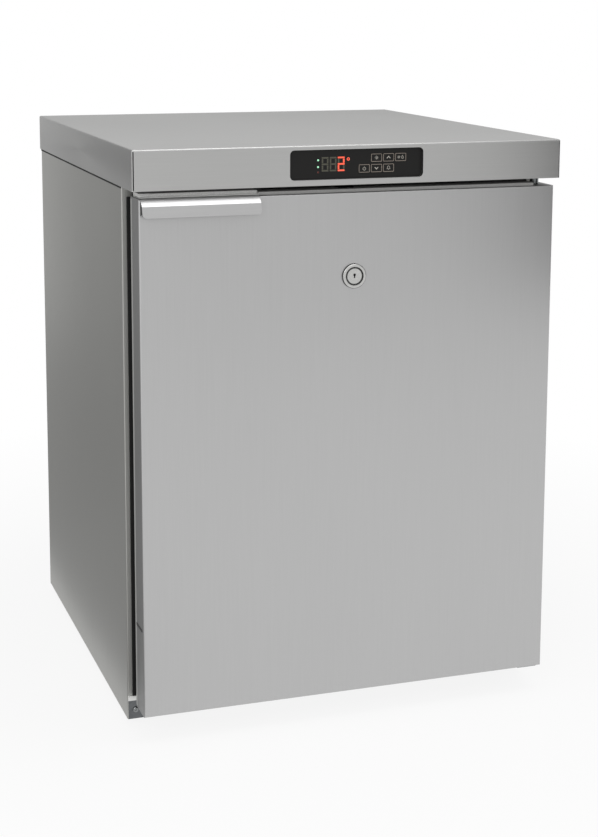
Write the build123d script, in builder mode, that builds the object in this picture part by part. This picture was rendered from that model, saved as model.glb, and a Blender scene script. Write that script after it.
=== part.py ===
from build123d import *
import os

# Under-counter cabinet freezer with one right-hinged door, in millimetres.
# X runs to the right, Y from the front to the back and Z up. The origin lies on the
# floor, in the middle of the whole width and of the whole depth, handle included.

# Worktop and casing
worktop_width = 600.0
worktop_depth = 650.0
cabinet_height = 785.0
worktop_edge = 53.0
worktop_sheet = 1.2
worktop_bend = 2.5
worktop_corner = 1.0
worktop_fit = 0.3
left_seam = 1.5
right_seam = 0.5
back_overhang = 5.0
panel_sheet = 1.0
panel_bend = 1.5
land_width = 40.0
rear_return = 20.0
base_flange = 26.0
base_rail_return = 20.0
foot_height = 12.0
foot_radius = 18.0
foot_chamfer = 2.0
foot_side_inset = 65.0
foot_front_inset = 42.0
foot_back_inset = 45.0

# Insulation, liner and machine compartment
side_insulation = 49.0
back_insulation = 50.0
base_insulation = 64.0
step_insulation = 49.0
ceiling_below_facia = 47.0
liner_sheet = 1.0
breaker_width = 10.0
breaker_thickness = 3.0
compartment_depth = 225.0
compartment_height = 278.0

# Door
door_setback = 7.0
door_depth = 44.0
door_top_gap = 11.0
door_bottom_rise = 26.0
door_left_inset = 10.0
door_right_inset = 5.0
door_sheet = 1.0
door_bend = 2.0
door_return = 14.0
inner_sheet = 1.0
inner_inset = 2.0
plug_depth = 10.0
plug_gap = 4.0
gasket_inset = 3.0
gasket_bottom_inset = 8.0
gasket_width = 18.0
gasket_depth = 15.7
gasket_base_width = 12.0
gasket_base_depth = 5.0
gasket_round = 2.5
gasket_clearance = 0.3

# Handle lip on the door's top edge
handle_length = 158.0
handle_inset = 2.0
handle_sheet = 1.5
handle_flange = 30.0
handle_crease_reach = 9.5
handle_crease_drop = 8.5
handle_reach = 15.0
handle_drop = 23.0
handle_corner = 5.0
handle_bend = 2.0

# Hinges
hinge_inset = 15.0
hinge_setback = 30.0
hinge_gasket_gap = 1.0
pin_radius = 4.0
pin_running_fit = 0.05
pin_depth = 16.0
pin_head_radius = 7.0
pin_head = 3.0
collar_radius = 6.0
collar_gap = 0.3
bush_radius = 6.0
bush_length = 18.0
bracket_thickness = 4.0
bracket_half_width = 15.0
bracket_nose = 17.0
bracket_screw_share = 0.62
top_bracket_leg = 40.0
door_floor_gap = 2.0
bottom_bracket_leg = 22.0

# Lock
lock_drop = 112.0
collar_ring_radius = 16.25
collar_ring_height = 3.0
barrel_radius = 13.5
barrel_length = 20.0
barrel_fit = 0.1
cylinder_radius = 11.4
cylinder_fit = 0.05
cylinder_proud = 2.5
groove = 1.2
keyhole_radius = 1.8
keyhole_slot = 1.8
keyhole_drop = 4.4
keyhole_depth = 9.0
case_half_width = 20.0
case_half_height = 24.0
case_depth = 12.5
case_wall = 1.5
crank_radius = 7.5
crank_hub_radius = 5.0
crank_arm_half_width = 2.5
crank_arm_thickness = 1.5
crank_pin_radius = 2.0
crank_pin_length = 5.2
crank_play = 0.3
crank_swing = 0.2105
part_gap = 0.3
yoke_thickness = 3.0
yoke_rim = 3.5
bolt_radius = 4.0
bolt_offset = 10.0
bolt_fit = 0.3
bolt_sunk = 0.3
guide_wall = 1.7
keep_fit = 0.8

# Control panel in the facia
panel_width = 187.0
panel_height = 39.5
panel_corner = 6.0
panel_raise = 0.8
panel_shift = 1.0
panel_recess = 6.0
panel_border = 3.0
panel_thickness = 2.5
housing_inset = 1.0
housing_wall = 1.5
housing_depth = 16.0
key_width = 15.4
key_height = 10.6
key_pitch = 17.2
key_row_pitch = 13.8
key_first_x = 11.7
key_top_row = 6.9
key_gap = 0.3
key_proud = 0.4
key_flange = 0.6
key_flange_thickness = 1.2
key_play = 0.2
key_travel = 0.6
key_corner = 0.8
stem_radius = 2.0
switch_size = 6.0
switch_height = 3.2
board_setback = 9.5
board_thickness = 1.6
digit_height = 19.0
digit_width = 9.4
digit_pitch = 11.2
digit_first_x = -43.2
digit_bar = 2.1
digit_split = 0.5
degree_gap = 3.2
degree_drop = 1.2
degree_radius = 2.1
degree_bore = 1.0
mark_thickness = 0.2
led_radius = 1.3
led_x = -52.9
led_heights = (5.6, -3.4, -10.4)

# Shelves and their supports
pilaster_width = 16.0
pilaster_depth = 5.0
pilaster_wall = 1.0
pilaster_front = 58.0
pilaster_back = 372.0
pilaster_slot = 8.0
pilaster_slot_height = 4.0
pilaster_slot_pitch = 22.0
pilaster_rise = 5.0
pilaster_top_gap = 8.0
clip_reach = 12.0
clip_thickness = 3.0
clip_upstand = 8.0
clip_upstand_thickness = 1.5
shelf_side_gap = 2.5
shelf_front_gap = 13.0
shelf_back_gap = 12.0
shelf_frame_radius = 3.0
shelf_wire_radius = 1.5
shelf_wire_count = 23
shelf_weld = 0.5
first_shelf = 20.0
shelf_pitch = 110.0

# Evaporator behind its cover
cover_depth = 93.0
cover_half_width = 234.0
cover_sheet = 1.0
cover_lift = 5.0
evaporator_length = 380.0
evaporator_depth = 36.0
evaporator_height = 280.0
evaporator_lift = 45.0
evaporator_rows = 7
evaporator_fin_pitch = 10.0
evaporator_tube_radius = 4.75
coil_bend_reach = 12.0
fin_thickness = 0.6
end_plate = 1.5
evaporator_fan_height = 220.0
pan_half_width = 215.0
pan_depth = 40.0
pan_height = 28.0
pan_wall = 1.5
spout_radius = 8.0
spout_bore = 6.0
spout_x = 110.0
probe_x = -170.0
probe_rise = 75.0
probe_radius = 3.0
probe_length = 30.0
probe_clip = 12.0

# Fans
fan_axis_to_plate = 14.0
fan_hub_radius = 20.0
fan_hub_depth = 16.0
fan_blades = 5
fan_blade_chord = 34.0
fan_blade_thickness = 1.6
fan_blade_pitch = 30.0
shaft_radius = 3.0
shaft_reach = 12.0
motor_start = 26.0
arm_thickness = 3.0
arm_half_height = 5.0
post_radius = 3.0
evaporator_fan_radius = 70.0
evaporator_motor_radius = 24.0
evaporator_motor_length = 22.0
condenser_fan_radius = 76.0
condenser_motor_radius = 30.0
condenser_motor_length = 36.0
fan_hole_gap = 3.0
post_gap = 7.0

# Condensing unit
condenser_length = 160.0
condenser_depth = 60.0
condenser_height = 190.0
condenser_lift = 27.0
condenser_rows = 6
condenser_fin_pitch = 7.5
condenser_tube_radius = 4.0
condenser_wall_gap = 27.0
condenser_back_gap = 24.0
shroud_sheet = 1.0
shroud_gap = 3.0
compressor_x = 75.0
compressor_back_gap = 109.0
compressor_radius = 78.0
compressor_height = 150.0
compressor_round = 28.0
compressor_seam = 3.0
foot_plate = 3.0
foot_plate_half = (95.0, 60.0)
mount_pitch = (160.0, 90.0)
mount_height = 15.0
mount_radius = 12.0
mount_neck_radius = 6.8
mount_cap_radius = 10.0
mount_cap = 3.0
terminal_box_reach = 24.0
terminal_box_sink = 12.0
terminal_box_half_width = 35.0
terminal_box_height = 60.0
terminal_box_lift = 25.0
evaporation_half = 75.0
evaporation_height = 28.0
evaporation_wall = 2.0
pipe_radius = 4.0
pipe_bend = 10.0
pipe_hole_gap = 2.0
pipe_wall_gap = 12.0
pipe_level = 117.0
pipe_loft = 28.0
riser_x = 222.0
drier_radius = 10.0
drier_length = 90.0

# Rear grille and power inlet
grille_half_width = 292.0
grille_edge_gap = 2.0
grille_bottom_rise = 8.0
louvre_length = 70.0
louvre_height = 5.0
louvre_rows = 12
louvre_pitch = 17.0
louvre_columns = 3
louvre_column_pitch = 110.0
inlet_x = 240.0
inlet_rise = 60.0
inlet_flange = (31.0, 23.0)
inlet_flange_thickness = 2.0
inlet_body = (27.0, 19.6)
inlet_wall = 1.5
inlet_depth = 18.0
inlet_cut_gap = 0.4
blade_size = (2.0, 4.0)
blade_length = 8.0
blade_pitch = 7.0

# Fasteners
screw_head_radius = 4.0
screw_head = 2.4
screw_radius = 2.0
screw_hole_gap = 0.1
base_screw_inset = 11.0

# Planes and levels that the pieces share
half_width = worktop_width / 2
facia_front = -(worktop_depth + handle_reach - door_setback) / 2 + handle_reach - door_setback
worktop_back = facia_front + worktop_depth
door_front = facia_front + door_setback
door_back = door_front + door_depth
cabinet_front = door_back + inner_sheet + gasket_depth + gasket_clearance
cabinet_back = worktop_back - back_overhang
side_outer = half_width - worktop_sheet - worktop_fit
side_inner = side_outer - panel_sheet
land_inner = side_outer - land_width
top_z = foot_height + cabinet_height
base_z = foot_height
cabinet_top = top_z - worktop_sheet
facia_bottom = top_z - worktop_edge
tray_floor = base_z + panel_sheet
flange_top = base_z + base_flange

liner_half = side_inner - side_insulation
liner_front = cabinet_front + breaker_thickness
liner_back = cabinet_back - 2 * panel_sheet - back_insulation
liner_floor = base_z + base_insulation
liner_ceiling = facia_bottom - ceiling_below_facia
compartment_front = cabinet_back - compartment_depth
compartment_top = base_z + compartment_height
step_top = compartment_top + panel_sheet + step_insulation
step_front = compartment_front - panel_sheet - step_insulation
rail_bottom = liner_ceiling + breaker_width
rail_top = liner_floor - breaker_width

door_left = -half_width + door_left_inset
door_right = half_width - door_right_inset
door_middle = (door_left + door_right) / 2
door_top = facia_bottom - door_top_gap
door_bottom = base_z + door_bottom_rise
hinge_x = door_right - hinge_inset
hinge_y = door_front + hinge_setback
gasket_left = door_left + gasket_inset
gasket_right = hinge_x - hinge_gasket_gap
gasket_low = door_bottom + gasket_bottom_inset
gasket_high = door_top - gasket_inset

lock_z = door_top - lock_drop
case_front = door_front + barrel_length
case_back = case_front + case_depth
crank_front = case_front + case_wall + part_gap
yoke_y = crank_front + crank_arm_thickness + crank_pin_length / 2
bolt_x = door_middle - bolt_offset
panel_x = door_middle + panel_shift
panel_z = (facia_bottom + top_z) / 2 + panel_raise
panel_face = facia_front + panel_recess
panel_rear = panel_face + panel_thickness
board_front = panel_rear + board_setback
cover_front = liner_back - cover_depth
fan_z = step_top + evaporator_fan_height
evaporator_y = liner_back - part_gap - evaporator_depth / 2
evaporator_low = step_top + evaporator_lift
condenser_x = -side_inner + condenser_wall_gap + condenser_depth / 2
condenser_y = cabinet_back - condenser_back_gap - condenser_length / 2
condenser_low = tray_floor + condenser_lift
condenser_z = condenser_low + condenser_height / 2
shroud_x = condenser_x + condenser_depth / 2 + shroud_gap
compressor_y = cabinet_back - compressor_back_gap
compressor_low = tray_floor + mount_height
shell_low = compressor_low + foot_plate
inlet_z = base_z + inlet_rise
drain_y = liner_back - part_gap - pan_depth / 2


def block(x, y, z, mode=Mode.ADD):
    """Box between the low and the high end given for each axis."""
    spans = [sorted(span) for span in (x, y, z)]
    middle = tuple((low + high) / 2 for low, high in spans)
    with Locations(middle):
        Box(*(high - low for low, high in spans), mode=mode)


def rod(radius, start, axis, length, mode=Mode.ADD):
    """Round bar that starts at a point and runs along an axis."""
    with Locations(Plane(origin=start, z_dir=axis)):
        Cylinder(radius, length, align=(Align.CENTER, Align.CENTER, Align.MIN), mode=mode)


def screw_hole(x, y, z, depth):
    """Clearance hole for a screw along Y."""
    rod(screw_radius + screw_hole_gap, (x, y, z), (0, 1, 0), depth, Mode.SUBTRACT)


def facing(y):
    """Upright plane at y that faces the front, with X to the right and Z up."""
    return Plane(origin=(0, y, 0), x_dir=(1, 0, 0), z_dir=(0, -1, 0))


os.makedirs("parts", exist_ok=True)

# Worktop: one folded sheet with turned-down edges and the panel's pressed rim
with BuildPart() as worktop:
    block((-half_width, half_width), (facia_front, worktop_back), (facia_bottom, top_z))
    fillet(worktop.edges().filter_by(Axis.Z), worktop_corner)
    fillet(worktop.faces().sort_by(Axis.Z)[-1].edges(), worktop_bend)
    block(
        (-half_width + worktop_sheet, half_width - worktop_sheet),
        (facia_front + worktop_sheet, worktop_back - worktop_sheet),
        (facia_bottom, cabinet_top),
        Mode.SUBTRACT,
    )
    with BuildSketch(facing(facia_front)) as panel_rim:
        with Locations((panel_x, panel_z)):
            RectangleRounded(
                panel_width + 2 * worktop_sheet,
                panel_height + 2 * worktop_sheet,
                panel_corner + worktop_sheet,
            )
    extrude(amount=-panel_recess)
    with BuildSketch(facing(facia_front)) as panel_mouth:
        with Locations((panel_x, panel_z)):
            RectangleRounded(panel_width, panel_height, panel_corner)
    extrude(amount=-panel_recess, mode=Mode.SUBTRACT)
    for side, seam in ((-1, left_seam), (1, right_seam)):
        edge = side * (half_width - worktop_sheet)
        block(
            (edge, edge - side * seam),
            (facia_front, facia_front + worktop_sheet),
            (facia_bottom, top_z - worktop_bend),
            Mode.SUBTRACT,
        )
worktop.part.label = "worktop"
export_step(worktop.part, "parts/worktop.step")

# Front top rail: the land above the opening and the tray that closes the facia below
with BuildPart() as top_rail:
    block(
        (-land_inner, land_inner),
        (cabinet_front, cabinet_front + panel_sheet),
        (rail_bottom, cabinet_top),
    )
    block(
        (-side_outer, side_outer),
        (facia_front + worktop_sheet + worktop_fit, cabinet_front),
        (facia_bottom, facia_bottom + panel_sheet),
    )
    rod(
        pin_radius + pin_running_fit,
        (hinge_x, hinge_y, facia_bottom),
        (0, 0, 1),
        panel_sheet,
        Mode.SUBTRACT,
    )
    rod(
        bolt_radius + keep_fit,
        (bolt_x, yoke_y, facia_bottom),
        (0, 0, 1),
        panel_sheet,
        Mode.SUBTRACT,
    )
top_rail.part.label = "top_rail"
export_step(top_rail.part, "parts/top_rail.step")


# Screw places that two pieces share
grille_low = base_z + grille_bottom_rise
grille_high = compartment_top - grille_edge_gap
grille_screw_x = (side_outer - rear_return + grille_half_width) / 2
grille_screw_zs = (grille_low + rear_return, grille_high - rear_return)
top_bracket_low = facia_bottom + panel_sheet
top_bracket_high = top_bracket_low + bracket_thickness
bottom_bracket_high = door_bottom - door_floor_gap
bottom_bracket_low = bottom_bracket_high - bracket_thickness
top_screw_z = top_bracket_low + top_bracket_leg * bracket_screw_share
bottom_screw_z = bottom_bracket_high - bottom_bracket_leg * bracket_screw_share
bracket_screw_xs = [hinge_x + side * bracket_half_width / 2 for side in (-1, 1)]


def side_panel(side):
    """Side sheet with the front return that the gasket seals on and a rear return."""
    with BuildPart() as panel:
        block(
            (side * side_inner, side * side_outer),
            (cabinet_front, cabinet_back),
            (base_z, cabinet_top),
        )
        block(
            (side * land_inner, side * side_outer),
            (cabinet_front, cabinet_front + panel_sheet),
            (flange_top, cabinet_top),
        )
        block(
            (side * (side_outer - rear_return), side * side_outer),
            (cabinet_back - panel_sheet, cabinet_back),
            (base_z, cabinet_top),
        )
        uprights = panel.edges().filter_by(Axis.Z)
        corners = [
            uprights.sort_by_distance((side * side_outer, y, (base_z + cabinet_top) / 2))[0]
            for y in (cabinet_front, cabinet_back)
        ]
        fillet(corners, panel_bend)
        for z in grille_screw_zs:
            screw_hole(side * grille_screw_x, cabinet_back - panel_sheet, z, panel_sheet)
        if side > 0:
            for x in bracket_screw_xs:
                screw_hole(x, cabinet_front, top_screw_z, panel_sheet)
    return panel.part


left_side_panel = side_panel(-1)
left_side_panel.label = "left_side_panel"
export_step(left_side_panel, "parts/left_side_panel.step")
right_side_panel = side_panel(1)
right_side_panel.label = "right_side_panel"
export_step(right_side_panel, "parts/right_side_panel.step")

# Back panel above the machine compartment
with BuildPart() as back_panel:
    block(
        (-side_inner, side_inner),
        (cabinet_back - 2 * panel_sheet, cabinet_back - panel_sheet),
        (compartment_top, cabinet_top),
    )
back_panel.part.label = "back_panel"
export_step(back_panel.part, "parts/back_panel.step")

# Base tray: the floor of the cabinet with upturned front and rear flanges
base_screw_x = -side_outer + base_screw_inset
base_screw_z = base_z + base_flange / 2
with BuildPart() as base_tray:
    block(
        (-side_inner, side_inner),
        (cabinet_front, cabinet_back - panel_sheet),
        (base_z, tray_floor),
    )
    for front in (cabinet_front, cabinet_back - 2 * panel_sheet):
        block((-side_inner, side_inner), (front, front + panel_sheet), (base_z, flange_top))
    screw_hole(base_screw_x, cabinet_front, base_screw_z, panel_sheet)
    for x in bracket_screw_xs:
        screw_hole(x, cabinet_front, bottom_screw_z, panel_sheet)
base_tray.part.label = "base_tray"
export_step(base_tray.part, "parts/base_tray.step")

# Front base rail: the land below the opening with a return into the foam
with BuildPart() as base_rail:
    block(
        (-land_inner, land_inner),
        (cabinet_front, cabinet_front + panel_sheet),
        (flange_top, rail_top),
    )
    block(
        (-land_inner, land_inner),
        (cabinet_front, cabinet_front + base_rail_return),
        (flange_top, flange_top + panel_sheet),
    )
base_rail.part.label = "base_rail"
export_step(base_rail.part, "parts/base_rail.step")

# Plastic strip round the opening, between the steel lands and the liner
with BuildPart() as breaker_frame:
    block((-land_inner, land_inner), (cabinet_front, liner_front), (rail_top, rail_bottom))
    block(
        (-liner_half, liner_half),
        (cabinet_front, liner_front),
        (liner_floor, liner_ceiling),
        Mode.SUBTRACT,
    )
breaker_frame.part.label = "breaker_frame"
export_step(breaker_frame.part, "parts/breaker_frame.step")


def liner_space(grow, mode):
    """Interior, deep above the compartment step and short below, grown by a wall."""
    block(
        (-liner_half - grow, liner_half + grow),
        (liner_front, liner_back + grow),
        (step_top - grow, liner_ceiling + grow),
        mode,
    )
    block(
        (-liner_half - grow, liner_half + grow),
        (liner_front, step_front + grow),
        (liner_floor - grow, step_top + grow),
        mode,
    )


def riser_holes(radius, low, high):
    """Holes for the two refrigerant pipes that rise to the evaporator."""
    for side in (-1, 1):
        start = (side * riser_x, evaporator_y, low)
        rod(radius, start, (0, 0, 1), high - low, Mode.SUBTRACT)


def drain_hole(radius, low, high):
    """Hole for the defrost drain."""
    rod(radius, (spout_x, drain_y, low), (0, 0, 1), high - low, Mode.SUBTRACT)


# Inner liner with its front flange behind the plastic strip
with BuildPart() as inner_liner:
    liner_space(liner_sheet, Mode.ADD)
    block(
        (-land_inner, land_inner),
        (liner_front, liner_front + liner_sheet),
        (rail_top, rail_bottom),
    )
    liner_space(0, Mode.SUBTRACT)
    riser_holes(pipe_radius + pipe_hole_gap, step_top - liner_sheet, step_top)
    drain_hole(spout_radius + part_gap, step_top - liner_sheet, step_top)
inner_liner.part.label = "inner_liner"
export_step(inner_liner.part, "parts/inner_liner.step")

# Foamed insulation between casing, liner and compartment
with BuildPart() as cabinet_foam:
    block(
        (-side_inner, side_inner),
        (cabinet_front + panel_sheet, cabinet_back - 2 * panel_sheet),
        (tray_floor, cabinet_top),
    )
    block(
        (-land_inner, land_inner),
        (cabinet_front, liner_front + liner_sheet),
        (rail_top, rail_bottom),
        Mode.SUBTRACT,
    )
    block(
        (-land_inner, land_inner),
        (cabinet_front, cabinet_front + base_rail_return),
        (flange_top, flange_top + panel_sheet),
        Mode.SUBTRACT,
    )
    block(
        (-side_inner, side_inner),
        (compartment_front - panel_sheet, cabinet_back),
        (base_z, compartment_top + panel_sheet),
        Mode.SUBTRACT,
    )
    liner_space(liner_sheet, Mode.SUBTRACT)
    riser_holes(pipe_radius + pipe_hole_gap, compartment_top, step_top)
    drain_hole(spout_radius + part_gap, compartment_top, step_top)
cabinet_foam.part.label = "cabinet_foam"
export_step(cabinet_foam.part, "parts/cabinet_foam.step")

# Sheet lining of the machine compartment
with BuildPart() as machine_housing:
    block(
        (-side_inner, side_inner),
        (compartment_front - panel_sheet, cabinet_back - 2 * panel_sheet),
        (compartment_top, compartment_top + panel_sheet),
    )
    block(
        (-side_inner, side_inner),
        (compartment_front - panel_sheet, compartment_front),
        (tray_floor, compartment_top),
    )
    riser_holes(pipe_radius + pipe_hole_gap, compartment_top, compartment_top + panel_sheet)
    drain_hole(spout_radius + part_gap, compartment_top, compartment_top + panel_sheet)
machine_housing.part.label = "machine_housing"
export_step(machine_housing.part, "parts/machine_housing.step")

# Rear grille with louvre slots and the inlet's cut-out
grille_middle = (grille_low + grille_high) / 2
grille_screws = [(side * grille_screw_x, z) for side in (-1, 1) for z in grille_screw_zs]
with BuildPart() as rear_grille:
    block(
        (-grille_half_width, grille_half_width),
        (cabinet_back, cabinet_back + panel_sheet),
        (grille_low, grille_high),
    )
    with BuildSketch(facing(cabinet_back + panel_sheet)) as louvres:
        with Locations((-louvre_column_pitch / 2, grille_middle)):
            with GridLocations(louvre_column_pitch, louvre_pitch, louvre_columns, louvre_rows):
                SlotOverall(louvre_length, louvre_height)
        with Locations((inlet_x, inlet_z)):
            Rectangle(inlet_body[0] + inlet_cut_gap, inlet_body[1] + inlet_cut_gap)
    extrude(amount=panel_sheet, both=True, mode=Mode.SUBTRACT)
    for x, z in grille_screws:
        screw_hole(x, cabinet_back, z, panel_sheet)
rear_grille.part.label = "rear_grille"
export_step(rear_grille.part, "parts/rear_grille.step")

# Four low glides under the base tray
foot_front_y = cabinet_front + foot_front_inset
foot_back_y = cabinet_back - foot_back_inset
with BuildPart() as feet:
    for side in (-1, 1):
        for y in (foot_front_y, foot_back_y):
            foot_x = side * (side_outer - foot_side_inset)
            rod(foot_radius, (foot_x, y, 0), (0, 0, 1), foot_height)
    chamfer(feet.edges().group_by(Axis.Z)[0], foot_chamfer)
feet.part.label = "feet"
export_step(feet.part, "parts/feet.step")

# Slotted shelf pilasters on the liner's side walls
pilaster_low = step_top + pilaster_rise
pilaster_high = liner_ceiling - pilaster_top_gap
pilaster_rows = int((pilaster_high - pilaster_low) // pilaster_slot_pitch)
pilaster_ys = (cabinet_front + pilaster_front, cabinet_front + pilaster_back)
with BuildPart() as shelf_pilasters:
    for side in (-1, 1):
        for y in pilaster_ys:
            block(
                (side * liner_half, side * (liner_half - pilaster_depth)),
                (y - pilaster_width / 2, y + pilaster_width / 2),
                (pilaster_low, pilaster_high),
            )
            block(
                (side * liner_half, side * (liner_half - pilaster_depth + pilaster_wall)),
                (y - pilaster_width / 2 + pilaster_wall, y + pilaster_width / 2 - pilaster_wall),
                (pilaster_low, pilaster_high),
                Mode.SUBTRACT,
            )
    with BuildSketch(Plane.YZ) as pilaster_slots:
        for y in pilaster_ys:
            with Locations((y, (pilaster_low + pilaster_high) / 2)):
                with GridLocations(1, pilaster_slot_pitch, 1, pilaster_rows):
                    Rectangle(pilaster_slot, pilaster_slot_height)
    extrude(amount=liner_half, both=True, mode=Mode.SUBTRACT)
shelf_pilasters.part.label = "shelf_pilasters"
export_step(shelf_pilasters.part, "parts/shelf_pilasters.step")

# Shelf clips, one under each corner of each shelf
shelf_levels = [step_top + first_shelf + i * shelf_pitch for i in range(3)]
clip_wall = liner_half - pilaster_depth
with BuildPart() as shelf_clips:
    for level in shelf_levels:
        clip_top = level - part_gap
        for side in (-1, 1):
            for y in pilaster_ys:
                span = (y - pilaster_width / 2, y + pilaster_width / 2)
                block(
                    (side * clip_wall, side * (clip_wall - clip_reach)),
                    span,
                    (clip_top - clip_thickness, clip_top),
                )
                block(
                    (side * clip_wall, side * (clip_wall - clip_upstand_thickness)),
                    span,
                    (clip_top - clip_thickness, clip_top + clip_upstand),
                )
shelf_clips.part.label = "shelf_clips"
export_step(shelf_clips.part, "parts/shelf_clips.step")


def wire_shelf(level):
    """Rod frame with two cross bars and welded wires from front to back."""
    half = liner_half - pilaster_depth - shelf_side_gap - shelf_frame_radius
    front = liner_front + shelf_front_gap + shelf_frame_radius
    back = cover_front - shelf_back_gap - shelf_frame_radius
    z = level + shelf_frame_radius
    wire_z = z + shelf_frame_radius + shelf_wire_radius - shelf_weld
    wire_pitch = 2 * half / (shelf_wire_count + 1)
    with BuildPart() as shelf:
        for side in (-1, 1):
            rod(shelf_frame_radius, (side * half, front, z), (0, 1, 0), back - front)
        for share in (0, 1 / 3, 2 / 3, 1):
            y = front + share * (back - front)
            rod(shelf_frame_radius, (-half, y, z), (1, 0, 0), 2 * half)
        with Locations(*[(s * half, y, z) for s in (-1, 1) for y in (front, back)]):
            Sphere(shelf_frame_radius)
        for i in range(shelf_wire_count):
            x = -half + (i + 1) * wire_pitch
            rod(shelf_wire_radius, (x, front, wire_z), (0, 1, 0), back - front)
    return shelf.part


shelf_lower = wire_shelf(shelf_levels[0])
shelf_names = ("shelf_lower", "shelf_middle", "shelf_upper")
for shelf_name, shelf_level in zip(shelf_names, shelf_levels):
    shelf_part = shelf_lower.moved(Location((0, 0, shelf_level - shelf_levels[0])))
    shelf_part.label = shelf_name
    export_step(shelf_part, f"parts/{shelf_name}.step")


def finned_coil(place, length, depth, height, rows, tube_radius, fin_pitch, leg):
    """Coil with its tubes along the plane's X, fins across them and bends at the ends.

    The end plates run on below the fins by the leg's length.
    """
    row_pitch = height / rows
    reach = length / 2 + coil_bend_reach
    levels = [(row + 0.5) * row_pitch - height / 2 for row in range(rows)]
    with BuildPart(place) as coil:
        with GridLocations(fin_pitch, 1, int(length // fin_pitch) - 1, 1):
            Box(fin_thickness, depth, height)
        for side in (-1, 1):
            plate = side * (length / 2 - end_plate)
            block(
                (plate, plate + side * end_plate),
                (-depth / 2, depth / 2),
                (-height / 2 - leg, height / 2),
            )
        for level in levels:
            rod(tube_radius, (-reach, 0, level), (1, 0, 0), 2 * reach)
        for row in range(rows - 1):
            end = reach if row % 2 == 0 else -reach
            rod(tube_radius, (end, 0, levels[row]), (0, 0, 1), row_pitch)
            with Locations((end, 0, levels[row]), (end, 0, levels[row + 1])):
                Sphere(tube_radius)
    return coil.part


evaporator_z = evaporator_low + evaporator_height / 2
evaporator_coil = finned_coil(
    Plane(origin=(0, evaporator_y, evaporator_z), x_dir=(1, 0, 0), z_dir=(0, 0, 1)),
    evaporator_length,
    evaporator_depth,
    evaporator_height,
    evaporator_rows,
    evaporator_tube_radius,
    evaporator_fin_pitch,
    evaporator_lift - pan_height - 2 * part_gap,
)
evaporator_coil.label = "evaporator_coil"
export_step(evaporator_coil, "parts/evaporator_coil.step")
condenser_coil = finned_coil(
    Plane(origin=(condenser_x, condenser_y, condenser_z), x_dir=(0, 1, 0), z_dir=(0, 0, 1)),
    condenser_length,
    condenser_depth,
    condenser_height,
    condenser_rows,
    condenser_tube_radius,
    condenser_fin_pitch,
    condenser_lift,
)
condenser_coil.label = "condenser_coil"
export_step(condenser_coil, "parts/condenser_coil.step")

# Evaporator cover: front and sides, with a ring guard and return slots
guard_radius = evaporator_fan_radius + fan_hole_gap
guard_rings = 4
guard_bar = 2.5
guard_spoke = 5.0
return_slots = 14
return_slot_pitch = 28.0
return_slot_width = 16.0
return_slot_height = 22.0
return_slot_rise = 25.0
with BuildPart() as evaporator_cover:
    block(
        (-cover_half_width, cover_half_width),
        (cover_front, liner_back - part_gap),
        (step_top + cover_lift, liner_ceiling - part_gap),
    )
    block(
        (-cover_half_width + cover_sheet, cover_half_width - cover_sheet),
        (cover_front + cover_sheet, liner_back),
        (step_top, liner_ceiling),
        Mode.SUBTRACT,
    )
    ring_step = (guard_radius - fan_hub_radius) / guard_rings
    with BuildSketch(facing(cover_front)) as guard:
        for ring in range(guard_rings):
            with Locations((0, fan_z)):
                Circle(guard_radius - ring * ring_step)
                Circle(guard_radius - (ring + 1) * ring_step + guard_bar, mode=Mode.SUBTRACT)
        with Locations((0, fan_z)):
            with PolarLocations(0, 2, 45, 90):
                Rectangle(2 * guard_radius, guard_spoke, mode=Mode.SUBTRACT)
    extrude(amount=-cover_sheet, mode=Mode.SUBTRACT)
    with BuildSketch(facing(cover_front)) as return_air:
        with Locations((0, step_top + cover_lift + return_slot_rise)):
            with GridLocations(return_slot_pitch, 1, return_slots, 1):
                Rectangle(return_slot_width, return_slot_height)
    extrude(amount=-cover_sheet, mode=Mode.SUBTRACT)
evaporator_cover.part.label = "evaporator_cover"
export_step(evaporator_cover.part, "parts/evaporator_cover.step")


def fan_rotor(place, tip_radius):
    """Hub with pitched blades and a blind bore for the motor's shaft."""
    root = fan_hub_radius / 2
    with BuildPart(place) as rotor:
        with Locations((0, 0, fan_axis_to_plate)):
            Cylinder(fan_hub_radius, fan_hub_depth)
            with PolarLocations((root + tip_radius) / 2, fan_blades):
                with Locations(Location((0, 0, 0), (fan_blade_pitch, 0, 0))):
                    Box(tip_radius - root, fan_blade_chord, fan_blade_thickness)
        hub_end = fan_axis_to_plate + fan_hub_depth / 2
        rod(
            shaft_radius + pin_running_fit,
            (0, 0, hub_end - shaft_reach - part_gap),
            (0, 0, 1),
            shaft_reach + part_gap,
            Mode.SUBTRACT,
        )
    return rotor.part


def fan_motor(place, radius, length, tip_radius):
    """Motor on two arms and posts that stand on the plate the fan blows through."""
    post_x = tip_radius + post_gap + post_radius
    shaft_end = fan_axis_to_plate + fan_hub_depth / 2 - shaft_reach
    with BuildPart(place) as motor:
        rod(radius, (0, 0, motor_start), (0, 0, 1), length)
        rod(shaft_radius, (0, 0, shaft_end), (0, 0, 1), motor_start - shaft_end)
        block(
            (-post_x, post_x),
            (-arm_half_height, arm_half_height),
            (motor_start, motor_start + arm_thickness),
        )
        for side in (-1, 1):
            rod(post_radius, (side * post_x, 0, 0), (0, 0, 1), motor_start + arm_thickness)
    return motor.part


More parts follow.
